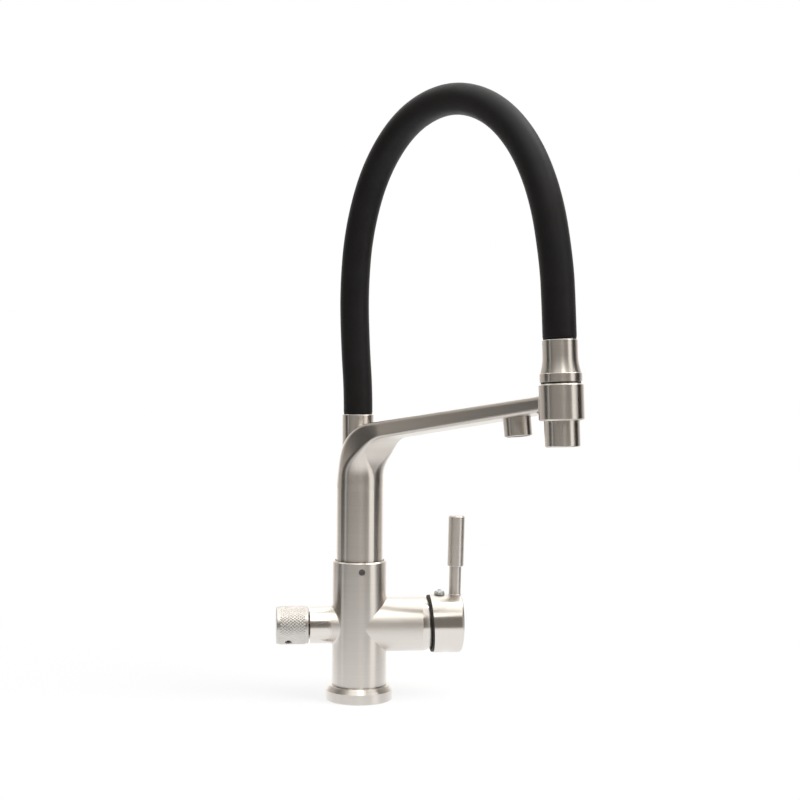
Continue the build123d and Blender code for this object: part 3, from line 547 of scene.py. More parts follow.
def add_group(tree: Tree, group: Tree) -> Node:
    """Place a node group in a material's tree."""
    return add_node(tree, "ShaderNodeGroup", node_tree=group)


def add_bump(tree: Tree, shader: Node, height: Socket, depth: float) -> None:
    """Give a shader a bump.

    Args:
        tree: The material's tree.
        shader: The shader that takes the normal.
        height: The pattern to read as a height.
        depth: The height of the full pattern, in metres.
    """
    bump = add_node(tree, "ShaderNodeBump")
    bump.inputs["Strength"].default_value = BUMP_STRENGTH
    bump.inputs["Distance"].default_value = depth
    feed(tree, bump.inputs["Height"], height)
    feed(tree, shader.inputs["Normal"], bump.outputs["Normal"])


brush_lines = brush_lines_group()
handling_marks = handling_group()
moulded_grain = moulded_grain_group()

# Satin nickel: its two colours, its roughness, the depth of its lines, and how far highlights are drawn out
NICKEL_TINT: Colour = (0.70, 0.655, 0.60)
NICKEL_SHADE: Colour = (0.67, 0.625, 0.57)
SATIN: Range = (0.29, 0.32)
FINE_LINES = 0.3 * MICRON
DRAWN_OUT = 0.88
SATIN_NICKEL = (NICKEL_TINT, NICKEL_SHADE, SATIN, Brushing.AROUND_UPRIGHT, FINE_LINES, DRAWN_OUT)

UPRIGHT_NICKEL = MetalFinish("upright_brushed_nickel", *SATIN_NICKEL)
BODY_NICKEL = BodyFinish("body_brushed_nickel", *SATIN_NICKEL)
SPOUT_NICKEL = SpoutFinish("spout_brushed_nickel", *SATIN_NICKEL)
ACROSS_NICKEL = MetalFinish("cross_brushed_nickel", NICKEL_TINT, NICKEL_SHADE, (0.23, 0.26),
                            Brushing.AROUND_ACROSS, FINE_LINES, anisotropy=0.8, anisotropy_turn=0.0)
GRIP_NICKEL = MetalFinish("grip_brushed_nickel", NICKEL_TINT, NICKEL_SHADE, (0.40, 0.44),
                          Brushing.AROUND_UPRIGHT, FINE_LINES, anisotropy=0.82)
KNURLED_NICKEL = MetalFinish("knurled_nickel", (0.65, 0.62, 0.58), (0.55, 0.52, 0.48), (0.34, 0.40),
                             Brushing.EVEN, FINE_LINES)
BRIGHT_STEEL = MetalFinish("bright_steel", grey(0.60), grey(0.50), (0.18, 0.28),
                           Brushing.EVEN, bump=0.8 * MICRON)
DULL_STEEL = MetalFinish("dull_steel", (0.28, 0.27, 0.26), (0.20, 0.19, 0.18), (0.30, 0.42),
                         Brushing.EVEN, bump=1.0 * MICRON)
# Brass of the filter headwork, darkened to paint the shade in the narrow gap between the knob and the branch
GAP_SHADE_BRASS = MetalFinish("brass_darkened_as_gap_shade", (0.22, 0.16, 0.085), (0.17, 0.12, 0.06), (0.32, 0.44),
                         Brushing.AROUND_ACROSS, bump=1.0 * MICRON)
TURNED_BRASS = MetalFinish("turned_brass", (0.80, 0.60, 0.32), (0.68, 0.49, 0.24), (0.24, 0.34),
                           Brushing.AROUND_UPRIGHT, bump=1.5 * MICRON)
HOSE_RUBBER = MouldedFinish("hose_rubber", (0.0086, 0.0079, 0.0079), (0.0070, 0.0065, 0.0065),
                            (0.46, 0.56), grain_scale=2400.0, bump=6 * MICRON, specular=0.20,
                            lie_on=Coordinates.UNROLLED)
BLACK_RUBBER = MouldedFinish("black_rubber", grey(0.020), grey(0.014), (0.55, 0.70),
                             grain_scale=2600.0, bump=20 * MICRON, specular=0.4)
BLACK_PLASTIC = MouldedFinish("black_plastic", grey(0.012), grey(0.009), (0.35, 0.50),
                              grain_scale=2000.0, bump=10 * MICRON)
CARTRIDGE_PLASTIC = MouldedFinish("cartridge_plastic", (0.72, 0.70, 0.64), (0.66, 0.64, 0.58), (0.40, 0.52),
                                  grain_scale=1800.0, bump=20 * MICRON)
WHITE_PLASTIC = MouldedFinish("white_plastic", (0.80, 0.80, 0.79), (0.74, 0.74, 0.73), (0.35, 0.48),
                              grain_scale=1800.0, bump=10 * MICRON)
GREY_PLASTIC = MouldedFinish("grey_plastic", grey(0.22), grey(0.18), (0.38, 0.52),
                             grain_scale=1800.0, bump=20 * MICRON)
CERAMIC = MouldedFinish("fired_ceramic", (0.86, 0.85, 0.82), (0.80, 0.79, 0.76), (0.10, 0.18),
                        grain_scale=2400.0, bump=4 * MICRON, specular=0.6)

# The finish of each slot of the record, and of the nodes that have one of their own
SLOT_FINISHES: dict[str, Finish] = {
    "brushed_nickel": UPRIGHT_NICKEL,
    "bright_steel": BRIGHT_STEEL,
    "turned_brass": TURNED_BRASS,
    "black_rubber": BLACK_RUBBER,
    "black_plastic": BLACK_PLASTIC,
    "cartridge_plastic": CARTRIDGE_PLASTIC,
    "white_plastic": WHITE_PLASTIC,
    "grey_plastic": GREY_PLASTIC,
    "ceramic": CERAMIC,
}
NODE_FINISHES: dict[str, Finish] = {
    "body_casting": BODY_NICKEL,
    "spout_casting": SPOUT_NICKEL,
    "lever_cap": ACROSS_NICKEL,
    "housing_dome": ACROSS_NICKEL,
    "lever_rod": GRIP_NICKEL,
    "lever_grip": GRIP_NICKEL,
    "filter_knob": KNURLED_NICKEL,
    # The headwork's darkened brass paints the shade in the gap beside the knob
    "filter_headwork": GAP_SHADE_BRASS,
    "filter_knob_screw": DULL_STEEL,
    "spout_set_screw": DULL_STEEL,
    "lever_grub_screw": DULL_STEEL,
    "hose_sleeve": HOSE_RUBBER,
}


# Geometry Nodes


class Recipe:
    """A Geometry Nodes tree that makes one repeated feature as a plain mesh."""

    def __init__(self, name: str, sizes: dict[str, float | int]) -> None:
        """Start the tree with a named input for each size.

        Args:
            name: The name of the tree and of the piece that it makes.
            sizes: The sizes by name, where a whole number is a count.
        """
        self.name = name
        self.sizes = sizes
        self.tree = bpy.data.node_groups.new(name, "GeometryNodeTree")
        for size, value in sizes.items():
            kind = "NodeSocketInt" if isinstance(value, int) else "NodeSocketFloat"
            self.tree.interface.new_socket(size, in_out="INPUT", socket_type=kind)
        self.tree.interface.new_socket("Geometry", in_out="OUTPUT", socket_type="NodeSocketGeometry")
        self.given = add_node(self.tree, "NodeGroupInput")
        self.result = add_node(self.tree, "NodeGroupOutput")

    def size(self, name: str) -> Socket:
        """The output of a named size."""
        return self.given.outputs[name]

    def node(self, kind: str, settings: dict[str, object] | None = None, **sources: object) -> Node:
        """Add a geometry node.

        Args:
            kind: The node's type without its GeometryNode prefix.
            settings: Properties of the node.
            sources: Its inputs by name, with underscores for spaces.

        Returns:
            The node.
        """
        node = add_node(self.tree, "GeometryNode" + kind, **(settings or {}))
        for name, source in sources.items():
            feed(self.tree, node.inputs[name.replace("_", " ")], source)
        return node

    def vector(self, **parts: object) -> Socket:
        """Add a Combine XYZ node.

        Args:
            parts: The parts X, Y and Z that aren't 0, as outputs or numbers.

        Returns:
            The vector.
        """
        node = add_node(self.tree, "ShaderNodeCombineXYZ")
        for letter, source in parts.items():
            feed(self.tree, node.inputs[letter], source)
        return node.outputs[0]

    def join(self, parts: list[Socket]) -> Socket:
        """Join geometries into one.

        Args:
            parts: The geometries, in order.

        Returns:
            All of them together.
        """
        joined = self.node("JoinGeometry")
        for part in parts:
            self.tree.links.new(part, joined.inputs[0])
        return joined.outputs[0]

    def finish(self, geometry: Socket, finish: Finish, smooth: bool) -> Piece:
        """End the tree, and turn its result into a plain mesh.

        Args:
            geometry: What the tree has made.
            finish: The finish that it takes.
            smooth: Whether its faces are shaded smooth.

        Returns:
            The new piece.
        """
        real = self.node("RealizeInstances", Geometry=geometry)
        dressed = self.node("SetMaterial", Geometry=real.outputs[0], Material=finish.material())
        shaded = self.node("SetShadeSmooth", Geometry=dressed.outputs[0], Shade_Smooth=smooth)
        feed(self.tree, self.result.inputs[0], shaded.outputs[0])
        piece = add_object(self.name, bpy.data.meshes.new(self.name + "_blank"))
        modifier = piece.modifiers.new(self.name, "NODES")
        modifier.node_group = self.tree
        for item in self.tree.interface.items_tree:
            if item.in_out == "INPUT":
                modifier[item.identifier] = self.sizes[item.name]
        bpy.context.view_layer.update()
        evaluated = piece.evaluated_get(bpy.context.evaluated_depsgraph_get())
        mesh = bpy.data.meshes.new_from_object(evaluated)
        piece.modifiers.remove(modifier)
        piece.data = mesh
        mesh.name = self.name
        mesh.materials.clear()
        mesh.materials.append(finish.material())
        mesh.polygons.foreach_set("material_index", [0] * len(mesh.polygons))
        return piece


def place_mesh(piece: Piece, matrix: Matrix) -> None:
    """Move a piece's mesh, and leave its object at the origin."""
    piece.data.transform(matrix)
    piece.data.update()


def spout_frame() -> Matrix:
    """Turns the spout's own frame, with +X along the arm, to its resting direction."""
    return Matrix.Rotation(SPOUT_DIRECTION, 4, "Z")


def head_frame() -> Matrix:
    """Frame of the spray head: its origin is the ring's middle, and +Z the head's axis."""
    middle = Matrix.Translation((HOLDER_REACH, 0, HOLDER_HEIGHT))
    return spout_frame() @ middle @ Matrix.Rotation(-HEAD_LEAN, 4, "Y")


# Sub-assemblies


@dataclass
class HoseArch:
    """The black sleeve that arches from the spout's socket to the spray head, and the hose inside it.

    Each point of the route is a reach along the arm and a height above the socket's mouth.
    """

    sleeve_radius: float = 11.65 * MM
    seat_radius: float = 11.0 * MM
    edge_radius: float = 0.4 * MM
    seat_depth: float = 9.0 * MM
    inner_radius: float = 6.0 * MM
    sides: int = 56
    spline_order: int = 3
    steps_between_points: int = 20
    rings_looked_ahead: int = 2
    route: tuple[tuple[float, float], ...] = (
        (-0.0033, 0.0), (-0.0033, 0.0194), (-0.0075, 0.0554), (-0.0097, 0.1012), (-0.0032, 0.1492),
        (0.0184, 0.1953), (0.0573, 0.2290), (0.1068, 0.2398), (0.1531, 0.2275), (0.1892, 0.1982),
        (0.2130, 0.1569), (0.2239, 0.1094), (0.22631, 0.07865), (0.22747, 0.05668))

    def corner(self, reach: float, height: float) -> Vector:
        """A point of the route in the frame, from its reach and its height above the socket's mouth."""
        return spout_frame() @ Vector((reach, 0, SOCKET_MOUTH + height))

    def curve(self) -> bpy.types.Curve:
        """Draw the route as a smooth NURBS spline with the route's points as its control points.

        Returns:
            The curve with its one open spline.
        """
        curve = bpy.data.curves.new("hose_route", "CURVE")
        curve.dimensions = "3D"
        spline = curve.splines.new("NURBS")
        spline.points.add(len(self.route) - 1)
        for point, (reach, height) in zip(spline.points, self.route):
            point.co = (*self.corner(reach, height), 1)
        spline.order_u = self.spline_order
        spline.use_endpoint_u = True
        spline.resolution_u = self.steps_between_points
        return curve

    def line(self) -> list[Vector]:
        """Walk along the spline.

        Returns:
            Closely spaced points of it, from the socket to the ferrule.
        """
        carrier = bpy.data.objects.new("hose_route", self.curve())
        mesh = bpy.data.meshes.new_from_object(carrier)
        points = [vertex.co.copy() for vertex in mesh.vertices]
        bpy.data.objects.remove(carrier)
        bpy.data.meshes.remove(mesh)
        return points

    def rings(self) -> list[tuple[Vector, float]]:
        """Lay the sleeve's rings along the line, with its stepped seats at both ends.

        Returns:
            The centre and radius of each ring, in order along the hose.
        """
        line = self.line()
        down = (line[0] - line[1]).normalized()
        into_ferrule = (line[-1] - line[-2]).normalized()
        rim_radius = self.sleeve_radius - self.edge_radius
        start = [(line[0] + down * self.seat_depth, self.seat_radius), (line[0], self.seat_radius),
                 (line[0], rim_radius)]
        end = [(line[-1], rim_radius), (line[-1], self.seat_radius),
               (line[-1] + into_ferrule * self.seat_depth, self.seat_radius)]
        inside = [(point, self.sleeve_radius) for point in line if self.clear_of_ends(point, line)]
        return start + inside + end

    def clear_of_ends(self, point: Vector, line: list[Vector]) -> bool:
        """True for a point of the line that lies at least one edge radius from both of its ends."""
        return min((point - line[0]).length, (point - line[-1]).length) >= self.edge_radius

    def tube(self, name: str, rings: list[tuple[Vector, float]]) -> Piece:
        """Skin a tube over rings, with a UV map in metres.

        Args:
            name: The piece's name.
            rings: The centre and radius of each ring, in order along the tube.

        Returns:
            The tube, closed at both ends.
        """
        mesh = bpy.data.meshes.new(name)
        mesh.from_pydata(self.ring_points(rings), [], self.tube_faces(len(rings)))
        self.unroll(mesh, rings)
        mesh.shade_smooth()
        return add_object(name, mesh)

    def ring_points(self, rings: list[tuple[Vector, float]]) -> list[Vector]:
        """Place the points of every ring, square to the hose's run there.

        Args:
            rings: The centre and radius of each ring.

        Returns:
            The points, ring by ring.
        """
        across = spout_frame() @ Vector((0, 1, 0))
        centres = [centre for centre, _ in rings]
        points: list[Vector] = []
        for number, (centre, radius) in enumerate(rings):
            ahead = centres[min(number + self.rings_looked_ahead, len(centres) - 1)]
            behind = centres[max(number - self.rings_looked_ahead, 0)]
            outwards = across.cross((ahead - behind).normalized())
            for side in range(self.sides):
                turn = 2 * math.pi * side / self.sides
                points.append(centre + radius * (math.cos(turn) * outwards + math.sin(turn) * across))
        return points

    def unroll(self, mesh: bpy.types.Mesh, rings: list[tuple[Vector, float]]) -> None:
        """Give a tube a UV map in metres, round it and along it.

        Args:
            mesh: The tube's mesh.
            rings: The centre and radius of each of its rings.
        """
        lengths = [0.0]
        for (centre, radius), (next_centre, next_radius) in zip(rings, rings[1:]):
            lengths.append(lengths[-1] + (next_centre - centre).length + abs(next_radius - radius))
        middle_radius = rings[len(rings) // 2][1]
        side_width = 2 * math.pi * middle_radius / self.sides
        layer = mesh.uv_layers.new(name="along_hose")
        for polygon in mesh.polygons:
            sides_of_face = [mesh.loops[loop].vertex_index % self.sides for loop in polygon.loop_indices]
            wraps = max(sides_of_face) - min(sides_of_face) > self.sides / 2
            for loop, side in zip(polygon.loop_indices, sides_of_face):
                ring = mesh.loops[loop].vertex_index // self.sides
                turned_side = side + self.sides if wraps and side == 0 else side
                layer.data[loop].uv = (turned_side * side_width, lengths[ring])

    def tube_faces(self, ring_count: int) -> list[tuple[int, ...]]:
        """List the faces of a tube.

        Args:
            ring_count: How many rings it has.

        Returns:
            The faces between the rings, then the two end faces, all pointing outwards.
        """
        faces: list[tuple[int, ...]] = []
        for ring in range(ring_count - 1):
            for side in range(self.sides):
                low = ring * self.sides
                high = low + self.sides
                beside = (side + 1) % self.sides
                faces.append((low + side, low + beside, high + beside, high + side))
        last = (ring_count - 1) * self.sides
        faces.append(tuple(reversed(range(self.sides))))
        faces.append(tuple(last + side for side in range(self.sides)))
        return faces

    def build(self) -> list[Piece]:
        """Make the sleeve and the inner hose, in place of the frame's own two, which it hides.

        Returns:
            The sleeve and the hose.
        """
        rings = self.rings()
        sleeve = self.tube("hose_sleeve_skin", rings)
        sleeve.data.materials.append(HOSE_RUBBER.material())
        inner = self.tube("pressure_hose_skin", [(centre, self.inner_radius) for centre, _ in rings])
        inner.data.materials.append(BLACK_RUBBER.material())
        for piece, node in ((sleeve, "hose_sleeve"), (inner, "pressure_hose")):
            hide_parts(node)
            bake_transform(piece)
        return [sleeve, inner]


@dataclass
class FilterKnob:
    """Diamond knurling of the filter valve's knob."""

    radius: float = 15.02 * MM
    band_start: float = 43.5 * MM
    band_end: float = 64.8 * MM
    diamonds_around: int = 46
    diamonds_along: int = 7
    diamond_height: float = 0.30 * MM
    screw_distance: float = 57.5 * MM
    screw_angle: float = math.radians(53)
    screw_clearance: float = 3.3 * MM

    def build(self) -> list[Piece]:
        """Make the knurling and let it turn with the knob.

        Returns:
            The knurling.
        """
        recipe = Recipe("knob_knurling", {
            "Radius": self.radius,
            "Around": self.diamonds_around,
            "Along": self.diamonds_along,
            "Pitch": (self.band_end - self.band_start) / self.diamonds_along,
            "Width": 2 * math.pi * self.radius / self.diamonds_around,
            "Height": self.diamond_height,
        })
        grids = recipe.join([self.grid(recipe, 0.0), self.grid(recipe, 0.5)])
        knurling = recipe.finish(grids, KNURLED_NICKEL, smooth=False)
        to_left = Matrix.Translation((0, 0, HANDLES_HEIGHT)) @ Matrix.Rotation(-QUARTER_TURN, 4, "Y")
        place_mesh(knurling, to_left @ Matrix.Translation((0, 0, self.band_start)))
        self.clear_screw(knurling)
        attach(knurling, "filter_handle")
        return [knurling]

    def grid(self, recipe: Recipe, step: float) -> Socket:
        """Stand diamonds on a grid round the knob, shifted by a share of their pitch both ways.

        A diamond is a pyramid of width 1 and height 1, scaled to its size where it stands.

        Args:
            recipe: The tree that takes the nodes.
            step: The shift, 0 or a half.

        Returns:
            The diamonds as instances.
        """
        tree = recipe.tree
        diamond = recipe.node("MeshCone", {"fill_type": "NONE"}, Vertices=4, Radius_Top=0.0,
                              Radius_Bottom=0.5, Depth=1.0)
        ring = recipe.node("MeshCircle", Vertices=recipe.size("Around"), Radius=recipe.size("Radius"))
        outwards = add_node(tree, "FunctionNodeAlignRotationToVector", axis="Z")
        feed(tree, outwards.inputs["Vector"], recipe.node("InputPosition").outputs[0])
        upright = add_node(tree, "FunctionNodeAlignRotationToVector", axis="X", pivot_axis="Z")
        feed(tree, upright.inputs["Rotation"], outwards.outputs[0])
        feed(tree, upright.inputs["Vector"], (0, 0, 1))
        size = recipe.vector(X=recipe.size("Pitch"), Y=recipe.size("Width"), Z=recipe.size("Height"))
        around = recipe.node("InstanceOnPoints", Points=ring.outputs[0], Instance=diamond.outputs[0],
                             Rotation=upright.outputs[0], Scale=size)
        first = recipe.vector(Z=calculate(tree, "MULTIPLY", recipe.size("Pitch"), 0.5 + step))
        count = calculate(tree, "SUBTRACT", recipe.size("Along"), 2 * step)
        line = recipe.node("MeshLine", Count=count, Start_Location=first,
                           Offset=recipe.vector(Z=recipe.size("Pitch")))
        turned = add_node(tree, "FunctionNodeEulerToRotation")
        turn = calculate(tree, "DIVIDE", 2 * math.pi * step, recipe.size("Around"))
        feed(tree, turned.inputs[0], recipe.vector(Z=turn))
        along = recipe.node("InstanceOnPoints", Points=line.outputs[0], Instance=around.outputs[0],
                            Rotation=turned.outputs[0])
        return along.outputs[0]

    def clear_screw(self, knurling: Piece) -> None:
        """Take away the diamonds that would cover the grub screw's hole.

        Args:
            knurling: The placed knurling.
        """
        hole = Vector((-self.screw_distance, -self.radius * math.cos(self.screw_angle),
                       HANDLES_HEIGHT - self.radius * math.sin(self.screw_angle)))
        shell = bmesh.new()
        shell.from_mesh(knurling.data)
        covering = [face for face in shell.faces
                    if (face.calc_center_median() - hole).length < self.screw_clearance]
        bmesh.ops.delete(shell, geom=covering, context="FACES")
        shell.to_mesh(knurling.data)
        shell.free()


@dataclass
class SprayFace:
    """Soft grey nibs round the jets of the spray head."""

    face_height: float = -29.8 * MM
    insert_radius: float = 10.15 * MM
    rings_of_jets: int = 3
    jets_in_first_ring: int = 6
    nib_radius: float = 0.95 * MM
    nib_thickness: float = 0.24 * MM
    nib_sides: int = 12
    bead_sides: int = 6

    def build(self) -> list[Piece]:
        """Make the nibs, one in the middle and the rest in rings, and let them turn with the spray head.

        Returns:
            The nibs.
        """
        recipe = Recipe("spray_nibs", {
            "Pitch": self.insert_radius / (self.rings_of_jets + 1),
            "Nib Radius": self.nib_radius,
            "Nib Thickness": self.nib_thickness,
        })
        circle = recipe.node("CurvePrimitiveCircle", Resolution=self.nib_sides,
                             Radius=recipe.size("Nib Radius"))
        bead = recipe.node("CurvePrimitiveCircle", Resolution=self.bead_sides,
                           Radius=recipe.size("Nib Thickness"))
        nib = recipe.node("CurveToMesh", Curve=circle.outputs[0], Profile_Curve=bead.outputs[0]).outputs[0]
        parts = [nib]
        for ring_number in range(1, self.rings_of_jets + 1):
            radius = calculate(recipe.tree, "MULTIPLY", recipe.size("Pitch"), float(ring_number))
            ring = recipe.node("MeshCircle", Vertices=self.jets_in_first_ring * ring_number, Radius=radius)
            parts.append(recipe.node("InstanceOnPoints", Points=ring.outputs[0], Instance=nib).outputs[0])
        nibs = recipe.finish(recipe.join(parts), GREY_PLASTIC, smooth=True)
        place_mesh(nibs, head_frame() @ Matrix.Translation((0, 0, self.face_height)))
        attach(nibs, "spray_unit")
        return [nibs]


@dataclass
class UndersideThreads:
    """Threads in the three inlets and in the fixing stud's hole."""

    inlet_radius: float = 4.6 * MM
    inlet_depth: float = 14 * MM
    inlet_circle: float = 11.5 * MM
    inlet_angles: tuple[float, ...] = (180.0, -60.0, 60.0)
    stud_radius: float = 3.4 * MM
    stud_depth: float = 25 * MM
    pitch: float = 1.0 * MM
    ridge: float = 0.3 * MM
    entry: float = 0.8 * MM
    points_a_turn: int = 28
    ridge_sides: int = 4

    def thread(self, name: str, radius: float, depth: float, centre: Point) -> Piece:
        """Make one spiral ridge along a hole's wall.

        Args:
            name: The piece's name.
            radius: The hole's radius.
            depth: The hole's depth.
            centre: The middle of the hole's mouth.

        Returns:
            The ridge.
        """
        turns = (depth - 2 * self.entry) / self.pitch
        recipe = Recipe(name, {"Radius": radius, "Turns": turns, "Depth": turns * self.pitch,
                               "Ridge": self.ridge})
        spiral = recipe.node("CurveSpiral", Resolution=self.points_a_turn, Rotations=recipe.size("Turns"),
                             Start_Radius=recipe.size("Radius"), End_Radius=recipe.size("Radius"),
                             Height=recipe.size("Depth"))
        section = recipe.node("CurvePrimitiveCircle", Resolution=self.ridge_sides,
                              Radius=recipe.size("Ridge"))
        ridge = recipe.node("CurveToMesh", Curve=spiral.outputs[0], Profile_Curve=section.outputs[0],
                            Fill_Caps=True)
        piece = recipe.finish(ridge.outputs[0], UPRIGHT_NICKEL, smooth=False)
        place_mesh(piece, Matrix.Translation(Vector(centre) + Vector((0, 0, self.entry))))
        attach(piece, "tap_body")
        return piece

    def build(self) -> list[Piece]:
        """Make the thread of every hole in the underside.

        Returns:
            The stud's thread and those of the inlets.
        """
        threads = [self.thread("stud_thread", self.stud_radius, self.stud_depth, (0, 0, 0))]
        for number, angle in enumerate(self.inlet_angles, start=1):
            turn = math.radians(angle)
            centre = (self.inlet_circle * math.cos(turn), self.inlet_circle * math.sin(turn), 0)
            name = f"inlet_thread_{number}"
            threads.append(self.thread(name, self.inlet_radius, self.inlet_depth, centre))
        return threads


class CadDress:
    """Gives each CAD node that stays its finish."""

    def build(self) -> list[Piece]:
        """Assign a material to every node of the frame.

        Returns:
            The nodes.
        """
        slots = self.node_slots()
        for name, node in frame["nodes"].items():
            finish = NODE_FINISHES.get(name) or SLOT_FINISHES[slots[name]]
            node.data.materials.clear()
            node.data.materials.append(finish.material())
        return list(frame["nodes"].values())

    def node_slots(self) -> dict[str, str]:
        """The record's material slot of each node."""
        return {part["node"]: part["material_slot"] for part in frame["record"]["subparts"]}


# Studio


@dataclass(frozen=True)
class StudioPanel:
    """A bright or dark zone of the studio, as the metal mirrors it.

    Angles are in degrees. The azimuth counts from the camera's side towards its right, and the height from
    the horizon upwards.
    """

    azimuth: float
    half_width: float
    low: float
    high: float
    softness: float
    light: Colour


@dataclass(frozen=True)
class Lamp:
    """A square soft lamp: where it stands, how long its side is, in metres, and its power in watts."""

    name: str
    place: Point
    side: float
    power: float


@dataclass
class Studio:
    """White backdrop, pale floor, soft lamps and the camera.

    The room's light and the panels are what metal mirrors, and the day's light is what lights everything
    else. The sheet is a patch of floor, bright in the metal, that fades between the two distances of its
    edge. The floor's glow makes it white to the camera, less so near the tap, where its shadow falls.
    """

    camera_place: Point = (-0.09843, -1.14457, 0.26142)
    camera_yaw: float = math.radians(6.5)
    camera_pitch: float = math.radians(1.0)
    camera_roll: float = math.radians(0.35)
    lens: float = 64.125
    sensor_width: float = 36.0
    room_light: Colour = (0.50, 0.47, 0.44)
    day_light: Colour = grey(0.55)
    floor_half_side: float = 6.0
    floor_tint: Colour = (0.86, 0.86, 0.855)
    floor_roughness: float = 0.9
    floor_specular: float = 0.1
    glow_edge: Range = (0.05, 0.5)
    glow_share: Range = (0.8, 1.0)
    sheet_edge: Range = (0.252, 0.468)
    sheet_light: Colour = (1.15, 1.165, 1.19)
    panels: tuple[StudioPanel, ...] = (
        StudioPanel(180, 40, -90, 90, 40, grey(1.30)),
        StudioPanel(0, 82, -18, 37, 8, (0.22, 0.205, 0.19)),
        StudioPanel(0, 180, 41, 90, 10, (1.80, 1.79, 1.76)),
        StudioPanel(12, 10, 36, 90, 8, (3.70, 3.67, 3.60)),
        StudioPanel(-54, 8, 36, 90, 6, (1.10, 1.09, 1.06)),
        StudioPanel(60, 12, -40, 70, 5, (1.20, 1.19, 1.17)),
        StudioPanel(97, 16, -60, 70, 8, grey(0.02)),
        StudioPanel(112, 18, 42, 80, 12, (5.60, 5.50, 5.45)),
        StudioPanel(-91, 12, -60, 70, 9, grey(0.02)),
        StudioPanel(-74, 4, -60, 80, 4, (0.55, 0.54, 0.52)),
        StudioPanel(-64, 3, -60, 80, 4, grey(0.02)),
    )
    lamps: tuple[Lamp, ...] = (
        Lamp("top_lamp", (0.2, -0.5, 1.9), 1.6, 16.0),
        Lamp("right_lamp", (1.5, -0.8, 1.3), 1.2, 34.0),
        Lamp("left_lamp", (-1.6, -0.9, 0.8), 1.0, 5.0),
    )
    lamp_aim: Point = (0.02, -0.05, 0.2)

    def build(self) -> None:
        """Make the camera, the world, the lamps and the floor."""
        self.make_camera()
        self.make_world()
        self.make_lamps()
        self.make_floor()
        bpy.context.scene.view_settings.view_transform = "Standard"

    def make_camera(self) -> None:
        """Stand the camera where the photograph was taken from."""
        yaw, pitch, roll = self.camera_yaw, self.camera_pitch, self.camera_roll
        right = Vector((math.cos(yaw), -math.sin(yaw), 0))
        ahead = Vector((math.sin(yaw) * math.cos(pitch), math.cos(yaw) * math.cos(pitch), -math.sin(pitch)))
        above = right.cross(ahead)
        side = right * math.cos(roll) + above * math.sin(roll)
        top = above * math.cos(roll) - right * math.sin(roll)
        data = bpy.data.cameras.new("camera")
        data.lens = self.lens
        data.sensor_width = self.sensor_width
        camera = add_object("camera", data)
        turn = Matrix((side, top, -ahead)).transposed().to_4x4()
        camera.matrix_world = Matrix.Translation(self.camera_place) @ turn
        bpy.context.scene.camera = camera

    def make_world(self) -> None:
        """Plain light all round, white to the camera, with the studio's panels for what metal mirrors."""
        world = bpy.data.worlds.new("studio")
        bpy.context.scene.world = world
        world.use_nodes = True
        tree = world.node_tree
        tree.nodes.clear()
        paths = add_node(tree, "ShaderNodeLightPath")
        plain = add_light(tree, LightShader.WORLD, opaque(self.day_light))
        mirrored = add_light(tree, LightShader.WORLD, self.panel_colours(tree))
        white = add_light(tree, LightShader.WORLD, opaque(grey(1.0)))
        unseen = mix_shaders(tree, paths.outputs["Is Glossy Ray"], plain, mirrored)
        shown = mix_shaders(tree, paths.outputs["Is Camera Ray"], unseen, white)
        output = add_node(tree, "ShaderNodeOutputWorld")
        feed(tree, output.inputs["Surface"], shown.outputs[0])

    def panel_colours(self, tree: Tree) -> Socket:
        """Lay the panels over the room's light, each over those before it.

        Args:
            tree: The world's tree.

        Returns:
            The light by direction, as a colour.
        """
        direction = add_node(tree, "ShaderNodeTexCoord").outputs["Generated"]
        yaw = self.camera_yaw
        right = (math.cos(yaw), -math.sin(yaw), 0)
        front = (-math.sin(yaw), -math.cos(yaw), 0)
        to_right = calculate_vector(tree, "DOT_PRODUCT", direction, right).outputs["Value"]
        to_front = calculate_vector(tree, "DOT_PRODUCT", direction, front).outputs["Value"]
        upwards = calculate_vector(tree, "DOT_PRODUCT", direction, (0, 0, 1)).outputs["Value"]
        azimuth = calculate(tree, "ARCTAN2", to_right, to_front)
        height = calculate(tree, "ARCSINE", upwards)
        colour: object = opaque(self.room_light)
        for panel in self.panels:
            mask = self.panel_mask(tree, panel, azimuth, height)
            colour = mix_colours(tree, mask, colour, opaque(panel.light))
        return colour

    def panel_mask(self, tree: Tree, panel: StudioPanel, azimuth: Socket, height: Socket) -> Socket:
        """Make the soft-edged mask of one panel.

        Args:
            tree: The world's tree.
            panel: The panel.
            azimuth: The direction's azimuth, in radians.
            height: Its height, in radians.

        Returns:
            1 inside the panel, 0 outside.
        """
        soft = math.radians(panel.softness) / 2
        half = math.radians(panel.half_width)
        shifted = calculate(tree, "SUBTRACT", azimuth, math.radians(panel.azimuth))
        wrapped = calculate(tree, "WRAP", shifted, math.pi, -math.pi)
        aside = calculate(tree, "ABSOLUTE", wrapped)
        across = remap(tree, aside, (half - soft, half + soft), FALLING, Fade.SOFT)
        low, high = math.radians(panel.low), math.radians(panel.high)
        above = remap(tree, height, (low - soft, low + soft), RISING, Fade.SOFT)
        below = remap(tree, height, (high - soft, high + soft), FALLING, Fade.SOFT)
        return calculate(tree, "MULTIPLY", across, calculate(tree, "MULTIPLY", above, below))

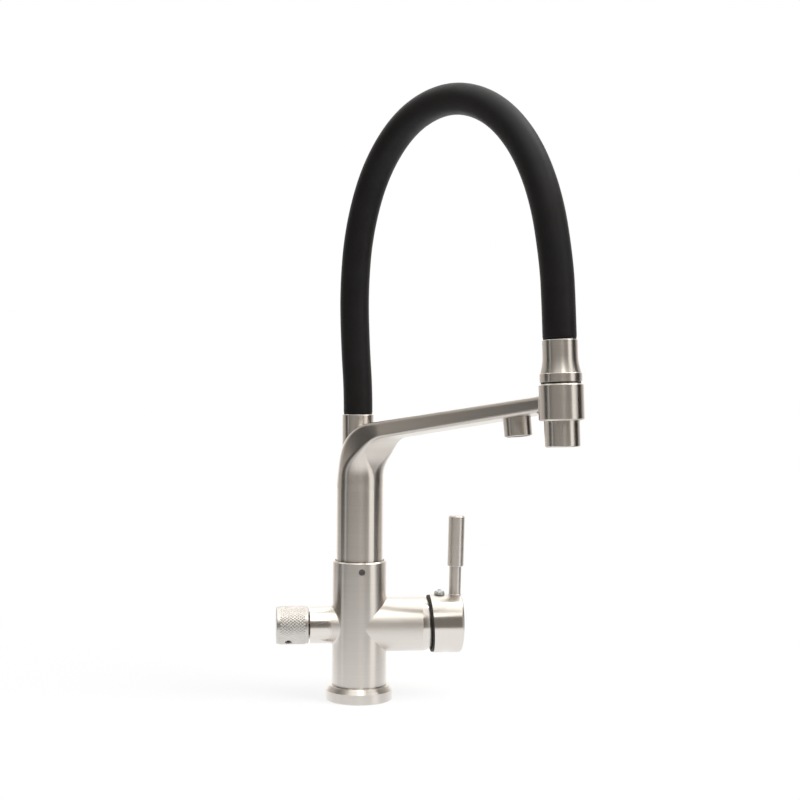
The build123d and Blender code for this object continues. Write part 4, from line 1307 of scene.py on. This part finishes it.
    def make_lamps(self) -> None:
        """Hang large soft lamps, which metal doesn't mirror, because it mirrors the panels in their place."""
        for lamp in self.lamps:
            data = bpy.data.lights.new(lamp.name, "AREA")
            data.size = lamp.side
            data.energy = lamp.power
            hung = add_object(lamp.name, data)
            hung.location = lamp.place
            towards_aim = Vector(self.lamp_aim) - Vector(lamp.place)
            hung.rotation_euler = towards_aim.to_track_quat("-Z", "Y").to_euler()
            hung.visible_glossy = False

    def make_floor(self) -> None:
        """Lay the pale floor, with its glow for the camera and its sheet for what metal mirrors."""
        side = self.floor_half_side
        corners = [(-side, -side, 0), (side, -side, 0), (side, side, 0), (-side, side, 0)]
        mesh = bpy.data.meshes.new("floor")
        mesh.from_pydata(corners, [], [(0, 1, 2, 3)])
        floor = add_object("floor", mesh)
        material, tree, shader, place = new_material("pale_floor", Coordinates.OBJECT)
        shader.inputs["Base Color"].default_value = opaque(self.floor_tint)
        shader.inputs["Roughness"].default_value = self.floor_roughness
        shader.inputs["Specular IOR Level"].default_value = self.floor_specular
        paths = add_node(tree, "ShaderNodeLightPath")
        away = calculate_vector(tree, "LENGTH", place).outputs["Value"]
        whiteness = remap(tree, away, self.glow_edge, self.glow_share, Fade.SOFT)
        seen = calculate(tree, "MULTIPLY", paths.outputs["Is Camera Ray"], whiteness)
        white = add_light(tree, LightShader.SURFACE, opaque(grey(1.0)))
        lit = mix_shaders(tree, seen, shader, white)
        past_sheet = remap(tree, away, self.sheet_edge, RISING, Fade.SOFT)
        bright = add_light(tree, LightShader.SURFACE, opaque(self.sheet_light))
        gone = add_node(tree, "ShaderNodeBsdfTransparent")
        sheet = mix_shaders(tree, past_sheet, bright, gone)
        shown = mix_shaders(tree, paths.outputs["Is Glossy Ray"], lit, sheet)
        feed(tree, tree.nodes["Material Output"].inputs["Surface"], shown.outputs[0])
        mesh.materials.append(material)


def main() -> None:
    """Build the studio and every sub-assembly in order, and report each piece."""
    logging.basicConfig(level=logging.INFO, format="%(name)s: %(message)s")
    Studio().build()
    for assembly in (HoseArch(), CadDress(), FilterKnob(), SprayFace(), UndersideThreads()):
        for piece in assembly.build():
            log.info("%s: %s, %d faces", type(assembly).__name__, piece.name, len(piece.data.polygons))


if __name__ == "__main__":
    main()
